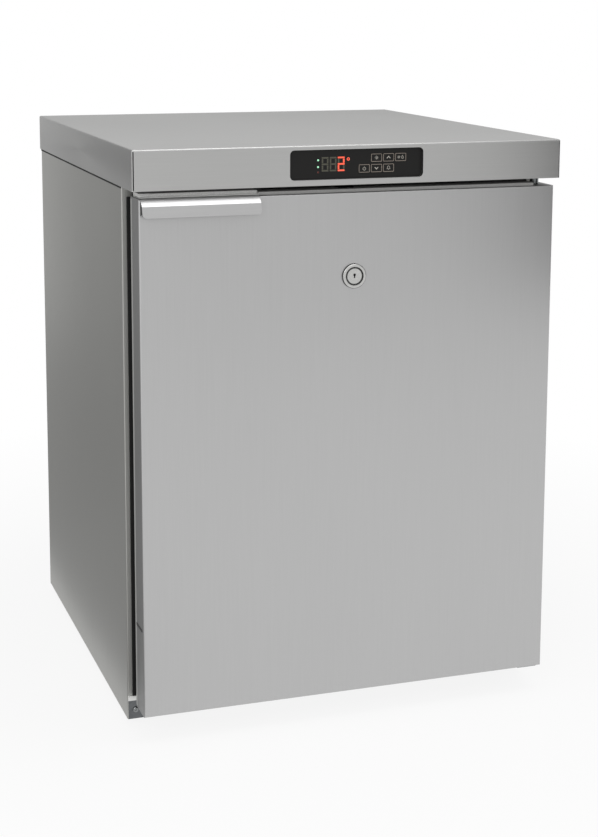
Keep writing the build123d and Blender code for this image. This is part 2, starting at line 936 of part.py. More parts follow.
evaporator_fan_place = Plane(
    origin=(0, cover_front + cover_sheet, fan_z), x_dir=(1, 0, 0), z_dir=(0, 1, 0)
)
evaporator_fan = fan_rotor(evaporator_fan_place, evaporator_fan_radius)
evaporator_fan.label = "evaporator_fan"
export_step(evaporator_fan, "parts/evaporator_fan.step")
evaporator_fan_motor = fan_motor(
    evaporator_fan_place, evaporator_motor_radius, evaporator_motor_length, evaporator_fan_radius
)
evaporator_fan_motor.label = "evaporator_fan_motor"
export_step(evaporator_fan_motor, "parts/evaporator_fan_motor.step")
condenser_fan_place = Plane(
    origin=(shroud_x + shroud_sheet, condenser_y, condenser_z), x_dir=(0, 1, 0), z_dir=(1, 0, 0)
)
condenser_fan = fan_rotor(condenser_fan_place, condenser_fan_radius)
condenser_fan.label = "condenser_fan"
export_step(condenser_fan, "parts/condenser_fan.step")
condenser_fan_motor = fan_motor(
    condenser_fan_place, condenser_motor_radius, condenser_motor_length, condenser_fan_radius
)
condenser_fan_motor.label = "condenser_fan_motor"
export_step(condenser_fan_motor, "parts/condenser_fan_motor.step")

# Fan shroud against the condenser, standing on the base tray
shroud_half = max(condenser_length / 2, condenser_fan_radius + post_gap + 2 * post_radius)
shroud_high = condenser_low + condenser_height
coil_face = condenser_x + condenser_depth / 2 + part_gap
with BuildPart() as fan_shroud:
    block(
        (shroud_x, shroud_x + shroud_sheet),
        (condenser_y - shroud_half, condenser_y + shroud_half),
        (tray_floor, shroud_high),
    )
    rod(
        condenser_fan_radius + fan_hole_gap,
        (shroud_x, condenser_y, condenser_z),
        (1, 0, 0),
        shroud_sheet,
        Mode.SUBTRACT,
    )
    for side in (-1, 1):
        edge = condenser_y + side * shroud_half
        block((coil_face, shroud_x), (edge, edge - side * shroud_sheet), (condenser_low, shroud_high))
fan_shroud.part.label = "fan_shroud"
export_step(fan_shroud.part, "parts/fan_shroud.step")

# Drain pan under the evaporator with its spout down to the evaporation tray
spout_low = shell_low + compressor_height + part_gap + evaporation_wall + pipe_radius
with BuildPart() as drain_pan:
    pan_low = step_top + part_gap
    block(
        (-pan_half_width, pan_half_width),
        (drain_y - pan_depth / 2, drain_y + pan_depth / 2),
        (pan_low, pan_low + pan_height),
    )
    block(
        (-pan_half_width + pan_wall, pan_half_width - pan_wall),
        (drain_y - pan_depth / 2 + pan_wall, drain_y + pan_depth / 2 - pan_wall),
        (pan_low + pan_wall, pan_low + pan_height),
        Mode.SUBTRACT,
    )
    rod(spout_radius, (spout_x, drain_y, spout_low), (0, 0, 1), pan_low - spout_low)
    rod(
        spout_bore,
        (spout_x, drain_y, spout_low),
        (0, 0, 1),
        pan_low + pan_wall - spout_low,
        Mode.SUBTRACT,
    )
drain_pan.part.label = "drain_pan"
export_step(drain_pan.part, "parts/drain_pan.step")

# Air temperature probe in its clip on the evaporator cover
probe_z = step_top + probe_rise
with BuildPart() as temperature_probe:
    probe_y = cover_front - probe_clip / 2
    block(
        (probe_x - probe_clip / 2, probe_x + probe_clip / 2),
        (cover_front - probe_clip / 2 - probe_radius, cover_front),
        (probe_z - probe_clip / 2, probe_z + probe_clip / 2),
    )
    rod(probe_radius, (probe_x - probe_length / 2, probe_y, probe_z), (1, 0, 0), probe_length)
temperature_probe.part.label = "temperature_probe"
export_step(temperature_probe.part, "parts/temperature_probe.step")

# Hermetic compressor on its foot plate, with the terminal box
mount_spots = [
    (compressor_x + sx * mount_pitch[0] / 2, compressor_y + sy * mount_pitch[1] / 2)
    for sx in (-1, 1)
    for sy in (-1, 1)
]
with BuildPart() as compressor:
    rod(compressor_radius, (compressor_x, compressor_y, shell_low), (0, 0, 1), compressor_height)
    fillet(compressor.edges().filter_by(GeomType.CIRCLE), compressor_round)
    rod(
        compressor_radius + compressor_seam,
        (compressor_x, compressor_y, shell_low + compressor_height / 2 - compressor_seam),
        (0, 0, 1),
        2 * compressor_seam,
    )
    block(
        (compressor_x - foot_plate_half[0], compressor_x + foot_plate_half[0]),
        (compressor_y - foot_plate_half[1], compressor_y + foot_plate_half[1]),
        (compressor_low, shell_low),
    )
    block(
        (
            compressor_x - compressor_radius - terminal_box_reach,
            compressor_x - compressor_radius + terminal_box_sink,
        ),
        (compressor_y - terminal_box_half_width, compressor_y + terminal_box_half_width),
        (shell_low + terminal_box_lift, shell_low + terminal_box_lift + terminal_box_height),
    )
    for x, y in mount_spots:
        rod(
            mount_neck_radius + part_gap,
            (x, y, compressor_low),
            (0, 0, 1),
            foot_plate,
            Mode.SUBTRACT,
        )
compressor.part.label = "compressor"
export_step(compressor.part, "parts/compressor.step")

# Rubber grommets under the compressor
with BuildPart() as compressor_mounts:
    for x, y in mount_spots:
        rod(mount_radius, (x, y, tray_floor), (0, 0, 1), mount_height)
        rod(mount_neck_radius, (x, y, tray_floor), (0, 0, 1), mount_height + foot_plate)
        rod(mount_cap_radius, (x, y, shell_low), (0, 0, 1), mount_cap)
compressor_mounts.part.label = "compressor_mounts"
export_step(compressor_mounts.part, "parts/compressor_mounts.step")

# Evaporation tray on top of the compressor
with BuildPart() as evaporation_tray:
    tray_low = shell_low + compressor_height + part_gap
    for inset, mode in ((0, Mode.ADD), (evaporation_wall, Mode.SUBTRACT)):
        half = evaporation_half - inset
        low = tray_low + inset
        block(
            (compressor_x - half, compressor_x + half),
            (compressor_y - half, compressor_y + half),
            (low, tray_low + evaporation_height),
            mode,
        )
evaporation_tray.part.label = "evaporation_tray"
export_step(evaporation_tray.part, "parts/evaporation_tray.step")


def copper_pipe(points):
    """Round pipe along straight runs joined by arcs."""
    with BuildPart() as pipe:
        with BuildLine() as route:
            FilletPolyline(*points, radius=pipe_bend)
        with BuildSketch(Plane(origin=route.line @ 0, z_dir=route.line % 0)):
            Circle(pipe_radius)
        sweep()
    return pipe.part


pipe_y = compartment_front + pipe_wall_gap
pipe_z = tray_floor + pipe_level
loft_z = compartment_top - pipe_loft
condenser_end = condenser_y - condenser_length / 2 - coil_bend_reach
condenser_top_row = condenser_low + condenser_height * (1 - 0.5 / condenser_rows)
condenser_low_row = condenser_low + condenser_height * 0.5 / condenser_rows
evaporator_end = evaporator_length / 2 + coil_bend_reach
evaporator_low_row = evaporator_low + evaporator_height * 0.5 / evaporator_rows
evaporator_top_row = evaporator_low + evaporator_height * (1 - 0.5 / evaporator_rows)
drier_x = -side_inner + drier_radius + pipe_hole_gap

discharge_pipe = copper_pipe(
    [
        (compressor_x, compressor_y - compressor_radius, pipe_z),
        (compressor_x, pipe_y, pipe_z),
        (compressor_x, pipe_y, condenser_top_row),
        (condenser_x, pipe_y, condenser_top_row),
        (condenser_x, condenser_end, condenser_top_row),
    ]
)
discharge_pipe.label = "discharge_pipe"
export_step(discharge_pipe, "parts/discharge_pipe.step")
suction_pipe = copper_pipe(
    [
        (compressor_x + compressor_radius, compressor_y, pipe_z),
        (riser_x, compressor_y, pipe_z),
        (riser_x, compressor_y, loft_z),
        (riser_x, evaporator_y, loft_z),
        (riser_x, evaporator_y, evaporator_top_row),
        (evaporator_end, evaporator_y, evaporator_top_row),
    ]
)
suction_pipe.label = "suction_pipe"
export_step(suction_pipe, "parts/suction_pipe.step")
liquid_route = [
    (condenser_x, condenser_end, condenser_low_row),
    (condenser_x, pipe_y, condenser_low_row),
    (drier_x, pipe_y, condenser_low_row),
    (drier_x, pipe_y, loft_z),
    (drier_x, evaporator_y, loft_z),
    (-riser_x, evaporator_y, loft_z),
    (-riser_x, evaporator_y, evaporator_low_row),
    (-evaporator_end, evaporator_y, evaporator_low_row),
]
with BuildPart() as liquid_pipe:
    add(copper_pipe(liquid_route))
    drier_low = (condenser_low_row + loft_z - drier_length) / 2
    rod(drier_radius, (drier_x, pipe_y, drier_low), (0, 0, 1), drier_length)
    drier_rims = liquid_pipe.edges().filter_by(
        lambda edge: edge.geom_type == GeomType.CIRCLE and abs(edge.radius - drier_radius) < 0.01
    )
    fillet(drier_rims, drier_radius / 2)
liquid_pipe.part.label = "liquid_pipe"
export_step(liquid_pipe.part, "parts/liquid_pipe.step")

# Appliance inlet for the power lead, with its three blades
with BuildPart() as power_inlet:
    inlet_y = cabinet_back + panel_sheet
    for size, front, depth in (
        (inlet_flange, inlet_y, inlet_flange_thickness),
        (inlet_body, inlet_y - inlet_depth, inlet_depth),
    ):
        block(
            (inlet_x - size[0] / 2, inlet_x + size[0] / 2),
            (front, front + depth),
            (inlet_z - size[1] / 2, inlet_z + size[1] / 2),
        )
    block(
        (inlet_x - inlet_body[0] / 2 + inlet_wall, inlet_x + inlet_body[0] / 2 - inlet_wall),
        (inlet_y - inlet_depth + inlet_wall, inlet_y + inlet_flange_thickness),
        (inlet_z - inlet_body[1] / 2 + inlet_wall, inlet_z + inlet_body[1] / 2 - inlet_wall),
        Mode.SUBTRACT,
    )
    for i in (-1, 0, 1):
        blade_x = inlet_x + i * blade_pitch
        blade_z = inlet_z + (2 if i == 0 else -2)
        block(
            (blade_x - blade_size[0] / 2, blade_x + blade_size[0] / 2),
            (inlet_y - inlet_depth, inlet_y - inlet_depth + inlet_wall + blade_length),
            (blade_z - blade_size[1] / 2, blade_z + blade_size[1] / 2),
        )
power_inlet.part.label = "power_inlet"
export_step(power_inlet.part, "parts/power_inlet.step")

# Key places: the upper row stands one key further right than the lower one
key_spots = [
    (
        panel_x + key_first_x + (column + 1 - row) * key_pitch,
        panel_z + key_top_row - row * key_row_pitch,
    )
    for row in range(2)
    for column in range(3)
]

# Control panel: black moulding behind the facia's rim, with the housing for the board
housing_width = panel_width - 2 * housing_inset
housing_height = panel_height - 2 * housing_inset
with BuildPart() as control_panel:
    with BuildSketch(facing(panel_face)) as panel_plate:
        with Locations((panel_x, panel_z)):
            RectangleRounded(
                panel_width + 2 * panel_border, panel_height + 2 * panel_border, panel_corner
            )
        with Locations(*key_spots):
            Rectangle(key_width + 2 * key_gap, key_height + 2 * key_gap, mode=Mode.SUBTRACT)
    extrude(amount=-panel_thickness)
    with BuildSketch(facing(panel_rear)) as housing:
        with Locations((panel_x, panel_z)):
            Rectangle(housing_width, housing_height)
            Rectangle(
                housing_width - 2 * housing_wall,
                housing_height - 2 * housing_wall,
                mode=Mode.SUBTRACT,
            )
    extrude(amount=-housing_depth)
control_panel.part.label = "control_panel"
export_step(control_panel.part, "parts/control_panel.step")

# Control board with the display module and a switch behind each key
display_margin = 3.0
display_width = 2 * digit_pitch + digit_width + 2 * display_margin
display_x = panel_x + digit_first_x + digit_pitch
with BuildPart() as control_board:
    with BuildSketch(facing(board_front)) as board:
        with Locations((panel_x, panel_z)):
            Rectangle(
                housing_width - 2 * housing_wall - 2 * part_gap,
                housing_height - 2 * housing_wall - 2 * part_gap,
            )
    extrude(amount=-board_thickness)
    with BuildSketch(facing(board_front)) as switches:
        with Locations(*key_spots):
            Rectangle(switch_size, switch_size)
    extrude(amount=switch_height)
    with BuildSketch(facing(board_front)) as display_module:
        with Locations((display_x, panel_z)):
            Rectangle(display_width, digit_height + 2 * display_margin)
    extrude(amount=board_setback - part_gap)
control_board.part.label = "control_board"
export_step(control_board.part, "parts/control_board.step")


def key_cap(x, z):
    """Key through the panel, with a flange behind it and a stem to its switch."""
    stem_end = board_front - switch_height - key_travel - part_gap
    flange_front = panel_rear + key_play
    with BuildPart() as key:
        with BuildSketch(facing(panel_face - key_proud)) as cap:
            with Locations((x, z)):
                RectangleRounded(key_width, key_height, key_corner)
        extrude(amount=-(flange_front - panel_face + key_proud))
        with BuildSketch(facing(flange_front)) as flange:
            with Locations((x, z)):
                Rectangle(key_width + 2 * key_flange, key_height + 2 * key_flange)
        extrude(amount=-key_flange_thickness)
        rod(stem_radius, (x, flange_front, z), (0, 1, 0), stem_end - flange_front)
    return key.part


for number, (key_x, key_z) in enumerate(key_spots, start=1):
    key_part = key_cap(key_x, key_z)
    key_part.label = f"key_{number}"
    export_step(key_part, f"parts/key_{number}.step")


def digit_bars(index):
    """The seven bars of one digit, keyed by their usual letters, as (x, z, width, height)."""
    x = panel_x + digit_first_x + index * digit_pitch
    top = (digit_height - digit_bar) / 2
    side = (digit_width - digit_bar) / 2
    upright = top - digit_bar - 2 * digit_split
    bars = {
        "a": (x, panel_z + top, digit_width, digit_bar),
        "g": (x, panel_z, digit_width, digit_bar),
        "d": (x, panel_z - top, digit_width, digit_bar),
    }
    for letter, across, up in (("f", -1, 1), ("b", 1, 1), ("e", -1, -1), ("c", 1, -1)):
        bars[letter] = (x + across * side, panel_z + up * top / 2, digit_bar, upright)
    return bars


lit_bars = [digit_bars(2)[letter] for letter in "abged"]
unlit_bars = [digit_bars(2)[letter] for letter in "fc"]
for index in (0, 1):
    unlit_bars += [digit_bars(index)[letter] for letter in "abcdefg"]
degree_x = panel_x + digit_first_x + 2 * digit_pitch + digit_width / 2 + degree_gap + degree_radius
degree_z = panel_z + digit_height / 2 - degree_drop - degree_radius

# Bars of the display that are lit, with the degree ring
with BuildPart() as segments_lit:
    for x, z, width, height in lit_bars:
        block(
            (x - width / 2, x + width / 2),
            (panel_face - mark_thickness, panel_face),
            (z - height / 2, z + height / 2),
        )
    degree = ((degree_x, panel_face - mark_thickness, degree_z), (0, 1, 0), mark_thickness)
    rod(degree_radius, *degree)
    rod(degree_bore, *degree, Mode.SUBTRACT)
segments_lit.part.label = "segments_lit"
export_step(segments_lit.part, "parts/segments_lit.step")

# Bars of the display that are dark, with the unlit lamp
with BuildPart() as segments_unlit:
    for x, z, width, height in unlit_bars:
        block(
            (x - width / 2, x + width / 2),
            (panel_face - mark_thickness, panel_face),
            (z - height / 2, z + height / 2),
        )
    rod(
        led_radius,
        (panel_x + led_x, panel_face - mark_thickness, panel_z + led_heights[2]),
        (0, 1, 0),
        mark_thickness,
    )
segments_unlit.part.label = "segments_unlit"
export_step(segments_unlit.part, "parts/segments_unlit.step")

# Two lit indicator lamps
with BuildPart() as indicator_lamps:
    for height in led_heights[:2]:
        rod(
            led_radius,
            (panel_x + led_x, panel_face - mark_thickness, panel_z + height),
            (0, 1, 0),
            mark_thickness,
        )
indicator_lamps.part.label = "indicator_lamps"
export_step(indicator_lamps.part, "parts/indicator_lamps.step")

# Hinge brackets: the top one stands on the facia's tray, the bottom one hangs on the base flange
bracket_x = (hinge_x - bracket_half_width, hinge_x + bracket_half_width - 1)
bracket_y = (hinge_y - bracket_nose, cabinet_front)
leg_front = cabinet_front - bracket_thickness


def hinge_bracket(plate_z, leg_z, screw_z):
    """Plate that carries the pin, with an upright leg screwed to the casing."""
    with BuildPart() as bracket:
        block(bracket_x, bracket_y, plate_z)
        block(bracket_x, (leg_front, cabinet_front), leg_z)
        rod(
            pin_radius + pin_running_fit,
            (hinge_x, hinge_y, plate_z[0]),
            (0, 0, 1),
            bracket_thickness,
            Mode.SUBTRACT,
        )
        for x in bracket_screw_xs:
            screw_hole(x, leg_front, screw_z, bracket_thickness)
    return bracket.part


top_hinge_bracket = hinge_bracket(
    (top_bracket_low, top_bracket_high),
    (top_bracket_low, top_bracket_low + top_bracket_leg),
    top_screw_z,
)
top_hinge_bracket.label = "top_hinge_bracket"
export_step(top_hinge_bracket, "parts/top_hinge_bracket.step")
bottom_hinge_bracket = hinge_bracket(
    (bottom_bracket_low, bottom_bracket_high),
    (bottom_bracket_high - bottom_bracket_leg, bottom_bracket_high),
    bottom_screw_z,
)
bottom_hinge_bracket.label = "bottom_hinge_bracket"
export_step(bottom_hinge_bracket, "parts/bottom_hinge_bracket.step")

# Hinge pins, each with a collar against the door's bush
with BuildPart() as hinge_pins:
    pin_top = top_bracket_high
    rod(
        pin_radius,
        (hinge_x, hinge_y, door_top - pin_depth),
        (0, 0, 1),
        pin_top + pin_head - door_top + pin_depth,
    )
    rod(pin_head_radius, (hinge_x, hinge_y, pin_top), (0, 0, 1), pin_head)
    collar_low = door_top + collar_gap
    rod(collar_radius, (hinge_x, hinge_y, collar_low), (0, 0, 1), facia_bottom - collar_low)
    pin_bottom = bottom_bracket_low - pin_head
    rod(
        pin_radius,
        (hinge_x, hinge_y, pin_bottom),
        (0, 0, 1),
        door_bottom + pin_depth - pin_bottom,
    )
    rod(pin_head_radius, (hinge_x, hinge_y, pin_bottom), (0, 0, 1), pin_head)
    collar_high = door_bottom - collar_gap
    rod(
        collar_radius,
        (hinge_x, hinge_y, bottom_bracket_high),
        (0, 0, 1),
        collar_high - bottom_bracket_high,
    )
hinge_pins.part.label = "hinge_pins"
export_step(hinge_pins.part, "parts/hinge_pins.step")

# Screws: one in the base flange, two in each bracket leg and four in the grille
screw_places = [((base_screw_x, cabinet_front, base_screw_z), 1, panel_sheet)]
bracket_grip = bracket_thickness + panel_sheet
screw_places += [((x, leg_front, top_screw_z), 1, bracket_grip) for x in bracket_screw_xs]
screw_places += [((x, leg_front, bottom_screw_z), 1, bracket_grip) for x in bracket_screw_xs]
screw_places += [((x, cabinet_back + panel_sheet, z), -1, 2 * panel_sheet) for x, z in grille_screws]
with BuildPart() as screws:
    for seat, inward, grip in screw_places:
        rod(screw_radius, seat, (0, inward, 0), grip)
        rod(screw_head_radius, seat, (0, -inward, 0), screw_head)
screws.part.label = "screws"
export_step(screws.part, "parts/screws.step")

# Door outer pan: front, four edges and the returns at the back
with BuildPart() as door_outer:
    block((door_left, door_right), (door_front, door_back), (door_bottom, door_top))
    fillet(door_outer.faces().sort_by(Axis.Y)[0].edges(), door_bend)
    block(
        (door_left + door_sheet, door_right - door_sheet),
        (door_front + door_sheet, door_back - door_sheet),
        (door_bottom + door_sheet, door_top - door_sheet),
        Mode.SUBTRACT,
    )
    block(
        (door_left + door_return, door_right - door_return),
        (door_front + door_sheet, door_back),
        (door_bottom + door_return, door_top - door_return),
        Mode.SUBTRACT,
    )
    for low in (door_top - door_sheet, door_bottom):
        rod(
            bush_radius + pin_running_fit,
            (hinge_x, hinge_y, low),
            (0, 0, 1),
            door_sheet,
            Mode.SUBTRACT,
        )
    rod(
        barrel_radius + barrel_fit,
        (door_middle, door_front, lock_z),
        (0, 1, 0),
        door_sheet,
        Mode.SUBTRACT,
    )
    rod(
        bolt_radius + bolt_fit,
        (bolt_x, yoke_y, door_top - door_sheet),
        (0, 0, 1),
        door_sheet,
        Mode.SUBTRACT,
    )
door_outer.part.label = "door_outer"
export_step(door_outer.part, "parts/door_outer.step")

# Door inner panel: a flat rim on the returns and a shallow plug inside the gasket
plug_x = (
    gasket_left + gasket_width + plug_gap,
    gasket_right - gasket_width - plug_gap,
)
plug_z = (
    gasket_low + gasket_width + plug_gap,
    gasket_high - gasket_width - plug_gap,
)
with BuildPart() as door_inner:
    block(
        (door_left + inner_inset, door_right - inner_inset),
        (door_back, door_back + inner_sheet),
        (door_bottom + inner_inset, door_top - inner_inset),
    )
    block(plug_x, (door_back, door_back + plug_depth + inner_sheet), plug_z)
    fillet(door_inner.faces().sort_by(Axis.Y)[-1].edges(), door_bend)
    block(
        (plug_x[0] + inner_sheet, plug_x[1] - inner_sheet),
        (door_back, door_back + plug_depth),
        (plug_z[0] + inner_sheet, plug_z[1] - inner_sheet),
        Mode.SUBTRACT,
    )
door_inner.part.label = "door_inner"
export_step(door_inner.part, "parts/door_inner.step")

# Magnetic gasket: a narrow root in the door's groove and a wide soft head
gasket_root_inset = (gasket_width - gasket_base_width) / 2
gasket_start = door_back + inner_sheet
with BuildPart() as door_gasket:
    for inset, width, low, high in (
        (gasket_root_inset, gasket_base_width, 0, gasket_base_depth),
        (0, gasket_width, gasket_base_depth, gasket_depth),
    ):
        left = gasket_left + inset
        right = gasket_right - inset
        bottom = gasket_low + inset
        top = gasket_high - inset
        span = (gasket_start + low, gasket_start + high)
        with BuildSketch(facing(span[0])) as gasket_ring:
            with Locations(((left + right) / 2, (bottom + top) / 2)):
                Rectangle(right - left, top - bottom)
                Rectangle(right - left - 2 * width, top - bottom - 2 * width, mode=Mode.SUBTRACT)
        extrude(amount=low - high)
    fillet(door_gasket.faces().sort_by(Axis.Y)[-1].edges(), gasket_round)
door_gasket.part.label = "door_gasket"
export_step(door_gasket.part, "parts/door_gasket.step")

# Door foam, with room for the lock, its bolt guide and the hinge bushes
with BuildPart() as door_foam:
    block(
        (door_left + door_sheet, door_right - door_sheet),
        (door_front + door_sheet, door_back - door_sheet),
        (door_bottom + door_sheet, door_top - door_sheet),
    )
    block(
        (door_left + door_return, door_right - door_return),
        (door_front + door_sheet, door_back),
        (door_bottom + door_return, door_top - door_return),
    )
    block(
        (plug_x[0] + inner_sheet, plug_x[1] - inner_sheet),
        (door_front + door_sheet, door_back + plug_depth),
        (plug_z[0] + inner_sheet, plug_z[1] - inner_sheet),
    )
    rod(
        barrel_radius,
        (door_middle, door_front, lock_z),
        (0, 1, 0),
        barrel_length,
        Mode.SUBTRACT,
    )
    block(
        (door_middle - case_half_width, door_middle + case_half_width),
        (case_front, case_back),
        (lock_z - case_half_height, lock_z + case_half_height),
        Mode.SUBTRACT,
    )
    rod(
        bolt_radius + bolt_fit + guide_wall,
        (bolt_x, yoke_y, lock_z),
        (0, 0, 1),
        door_top - lock_z,
        Mode.SUBTRACT,
    )
    for low in (door_bottom, door_top - bush_length):
        rod(bush_radius, (hinge_x, hinge_y, low), (0, 0, 1), bush_length, Mode.SUBTRACT)
door_foam.part.label = "door_foam"
export_step(door_foam.part, "parts/door_foam.step")

# Nylon bushes in the door's top and bottom edges
with BuildPart() as hinge_bushes:
    for low in (door_bottom, door_top - bush_length):
        rod(bush_radius, (hinge_x, hinge_y, low), (0, 0, 1), bush_length)
        rod(
            pin_radius + pin_running_fit,
            (hinge_x, hinge_y, low),
            (0, 0, 1),
            bush_length,
            Mode.SUBTRACT,
        )
hinge_bushes.part.label = "hinge_bushes"
export_step(hinge_bushes.part, "parts/hinge_bushes.step")

# Handle lip: a bent sheet that lies on the door's top and hangs over its front
handle_left = door_left + handle_inset
with BuildPart() as handle_lip:
    with BuildSketch(Plane.YZ.offset(handle_left)) as lip_profile:
        with BuildLine() as lip_line:
            FilletPolyline(
                (door_front + handle_flange, door_top + handle_sheet / 2),
                (door_front, door_top + handle_sheet / 2),
                (door_front - handle_crease_reach, door_top - handle_crease_drop),
                (
                    door_front - handle_reach + handle_sheet / 2,
                    door_top - handle_drop,
                ),
                radius=handle_bend,
            )
        trace(line_width=handle_sheet)
    extrude(amount=handle_length)
    lip_ends = handle_lip.faces().sort_by(Axis.Z)[0].edges().filter_by(Axis.X, reverse=True)
    fillet(lip_ends, handle_corner)
handle_lip.part.label = "handle_lip"
export_step(handle_lip.part, "parts/handle_lip.step")

# Lock barrel with its raised collar ring
with BuildPart() as lock_barrel:
    rod(
        collar_ring_radius,
        (door_middle, door_front, lock_z),
        (0, -1, 0),
        collar_ring_height,
    )
    fillet(lock_barrel.edges().sort_by(Axis.Y)[0], collar_ring_height / 3)
    rod(barrel_radius, (door_middle, door_front, lock_z), (0, 1, 0), barrel_length)
    rod(
        cylinder_radius + cylinder_fit,
        (door_middle, door_front, lock_z),
        (0, 1, 0),
        barrel_length,
        Mode.SUBTRACT,
    )
    rod(
        cylinder_radius + groove,
        (door_middle, door_front, lock_z),
        (0, -1, 0),
        collar_ring_height,
        Mode.SUBTRACT,
    )
lock_barrel.part.label = "lock_barrel"
export_step(lock_barrel.part, "parts/lock_barrel.step")

# Lock cylinder: the turning plug with its keyhole and the crank that lifts the bolt
with BuildPart() as lock_cylinder:
    rod(
        cylinder_radius,
        (door_middle, door_front - cylinder_proud, lock_z),
        (0, 1, 0),
        barrel_length + cylinder_proud,
    )
    rod(
        crank_hub_radius,
        (door_middle, case_front, lock_z),
        (0, 1, 0),
        crank_front + crank_arm_thickness - case_front,
    )
    block(
        (door_middle - crank_arm_half_width, door_middle + crank_arm_half_width),
        (crank_front, crank_front + crank_arm_thickness),
        (lock_z - crank_radius, lock_z),
    )
    rod(
        crank_arm_half_width,
        (door_middle, crank_front, lock_z - crank_radius),
        (0, 1, 0),
        crank_arm_thickness,
    )
    rod(
        crank_pin_radius,
        (door_middle, crank_front, lock_z - crank_radius),
        (0, 1, 0),
        crank_arm_thickness + crank_pin_length,
    )
    with BuildSketch(facing(door_front - cylinder_proud)) as keyhole:
        with Locations((door_middle, lock_z + keyhole_radius)):
            Circle(keyhole_radius)
        with Locations((door_middle, lock_z + keyhole_radius - keyhole_drop / 2)):
            Rectangle(keyhole_slot, keyhole_drop)
    extrude(amount=-keyhole_depth, mode=Mode.SUBTRACT)
lock_cylinder.part.label = "lock_cylinder"
export_step(lock_cylinder.part, "parts/lock_cylinder.step")

# Lock case with the bolt's guide tube up to the door's top edge
case_low = lock_z - case_half_height
case_high = lock_z + case_half_height
with BuildPart() as lock_case:
    block(
        (door_middle - case_half_width, door_middle + case_half_width),
        (case_front, case_back),
        (case_low, case_high),
    )
    rod(
        bolt_radius + bolt_fit + guide_wall,
        (bolt_x, yoke_y, case_high - case_wall),
        (0, 0, 1),
        door_top - door_sheet - case_high + case_wall,
    )
    block(
        (door_middle - case_half_width + case_wall, door_middle + case_half_width - case_wall),
        (case_front + case_wall, case_back - case_wall),
        (case_low + case_wall, case_high - case_wall),
        Mode.SUBTRACT,
    )
    rod(
        crank_hub_radius + part_gap,
        (door_middle, case_front, lock_z),
        (0, 1, 0),
        case_wall,
        Mode.SUBTRACT,
    )
    rod(
        bolt_radius + bolt_fit,
        (bolt_x, yoke_y, lock_z),
        (0, 0, 1),
        door_top - lock_z,
        Mode.SUBTRACT,
    )
lock_case.part.label = "lock_case"
export_step(lock_case.part, "parts/lock_case.step")

# Lock bolt: a rod on a yoke, whose slot the crank pin lifts as it turns
slot_z = lock_z - crank_radius
slot_half = crank_pin_radius + crank_swing * crank_radius + crank_play
yoke_left = bolt_x - bolt_radius
slot_left = door_middle - crank_pin_radius - crank_play
slot_right = door_middle + crank_radius + crank_pin_radius + crank_play
yoke_low = slot_z - slot_half - yoke_rim
with BuildPart() as lock_bolt:
    block(
        (yoke_left, slot_right + yoke_rim),
        (yoke_y - yoke_thickness / 2, yoke_y + yoke_thickness / 2),
        (yoke_low, slot_z + slot_half + yoke_rim),
    )
    rod(bolt_radius, (bolt_x, yoke_y, yoke_low), (0, 0, 1), door_top - bolt_sunk - yoke_low)
    block(
        (slot_left, slot_right),
        (case_front, case_back),
        (slot_z - slot_half, slot_z + slot_half),
        Mode.SUBTRACT,
    )
lock_bolt.part.label = "lock_bolt"
export_step(lock_bolt.part, "parts/lock_bolt.step")
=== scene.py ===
"""Looks of an under-counter cabinet freezer with a stainless worktop, one door and a control
panel, laid out as a Blender add-on and run as a script on the packed CAD frame."""
import math

import bmesh
import bpy
from bpy.props import FloatProperty, FloatVectorProperty, IntProperty, PointerProperty
from mathutils import Euler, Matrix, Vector


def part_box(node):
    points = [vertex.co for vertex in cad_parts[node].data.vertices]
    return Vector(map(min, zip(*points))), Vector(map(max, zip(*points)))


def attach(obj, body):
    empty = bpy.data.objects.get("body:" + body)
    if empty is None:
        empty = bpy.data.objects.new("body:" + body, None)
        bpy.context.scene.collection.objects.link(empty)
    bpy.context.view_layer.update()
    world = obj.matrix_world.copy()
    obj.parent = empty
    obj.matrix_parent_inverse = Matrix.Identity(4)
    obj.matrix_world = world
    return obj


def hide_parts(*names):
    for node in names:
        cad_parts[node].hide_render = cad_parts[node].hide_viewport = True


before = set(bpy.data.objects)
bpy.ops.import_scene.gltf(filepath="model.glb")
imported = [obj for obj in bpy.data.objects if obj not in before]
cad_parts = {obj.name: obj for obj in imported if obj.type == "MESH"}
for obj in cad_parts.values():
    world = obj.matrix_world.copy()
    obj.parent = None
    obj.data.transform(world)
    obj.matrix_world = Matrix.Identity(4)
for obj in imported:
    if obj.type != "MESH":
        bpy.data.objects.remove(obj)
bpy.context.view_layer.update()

bl_info = {
    "name": "Cabinet freezer looks",
    "version": (1, 0, 0),
    "blender": (4, 5, 0),
    "location": "3D View > Sidebar > Freezer",
    "description": "Dresses the packed cabinet freezer with its materials, small pieces and stage",
    "category": "Object",
}

MM = 0.001
HAIR = 0.01 * MM  # keeps two faces out of one plane


def linear(colour):
    """An sRGB hex colour as linear red, green and blue. A setting's colour is linear already."""
    if not isinstance(colour, str):
        return tuple(colour)
    channels = [int(colour[i:i + 2], 16) / 255 for i in (1, 3, 5)]
    return tuple(c / 12.92 if c <= 0.04045 else ((c + 0.055) / 1.055) ** 2.4 for c in channels)


def colour_setting(name, description, hex_colour):
    return FloatVectorProperty(
        name=name, description=description, subtype="COLOR", size=3, min=0.0, max=1.0,
        default=linear(hex_colour))


def length_setting(name, description, millimetres):
    return FloatProperty(
        name=name, description=description, unit="LENGTH", precision=4, min=0.0,
        default=millimetres * MM)


def share_setting(name, description, share):
    return FloatProperty(
        name=name, description=description, subtype="FACTOR", min=0.0, max=1.0, default=share)


def angle_setting(name, description, radians):
    return FloatProperty(name=name, description=description, subtype="ANGLE", default=radians)


def power_setting(name, description, watts):
    return FloatProperty(
        name=name, description=description, unit="POWER", min=0.0, default=watts)


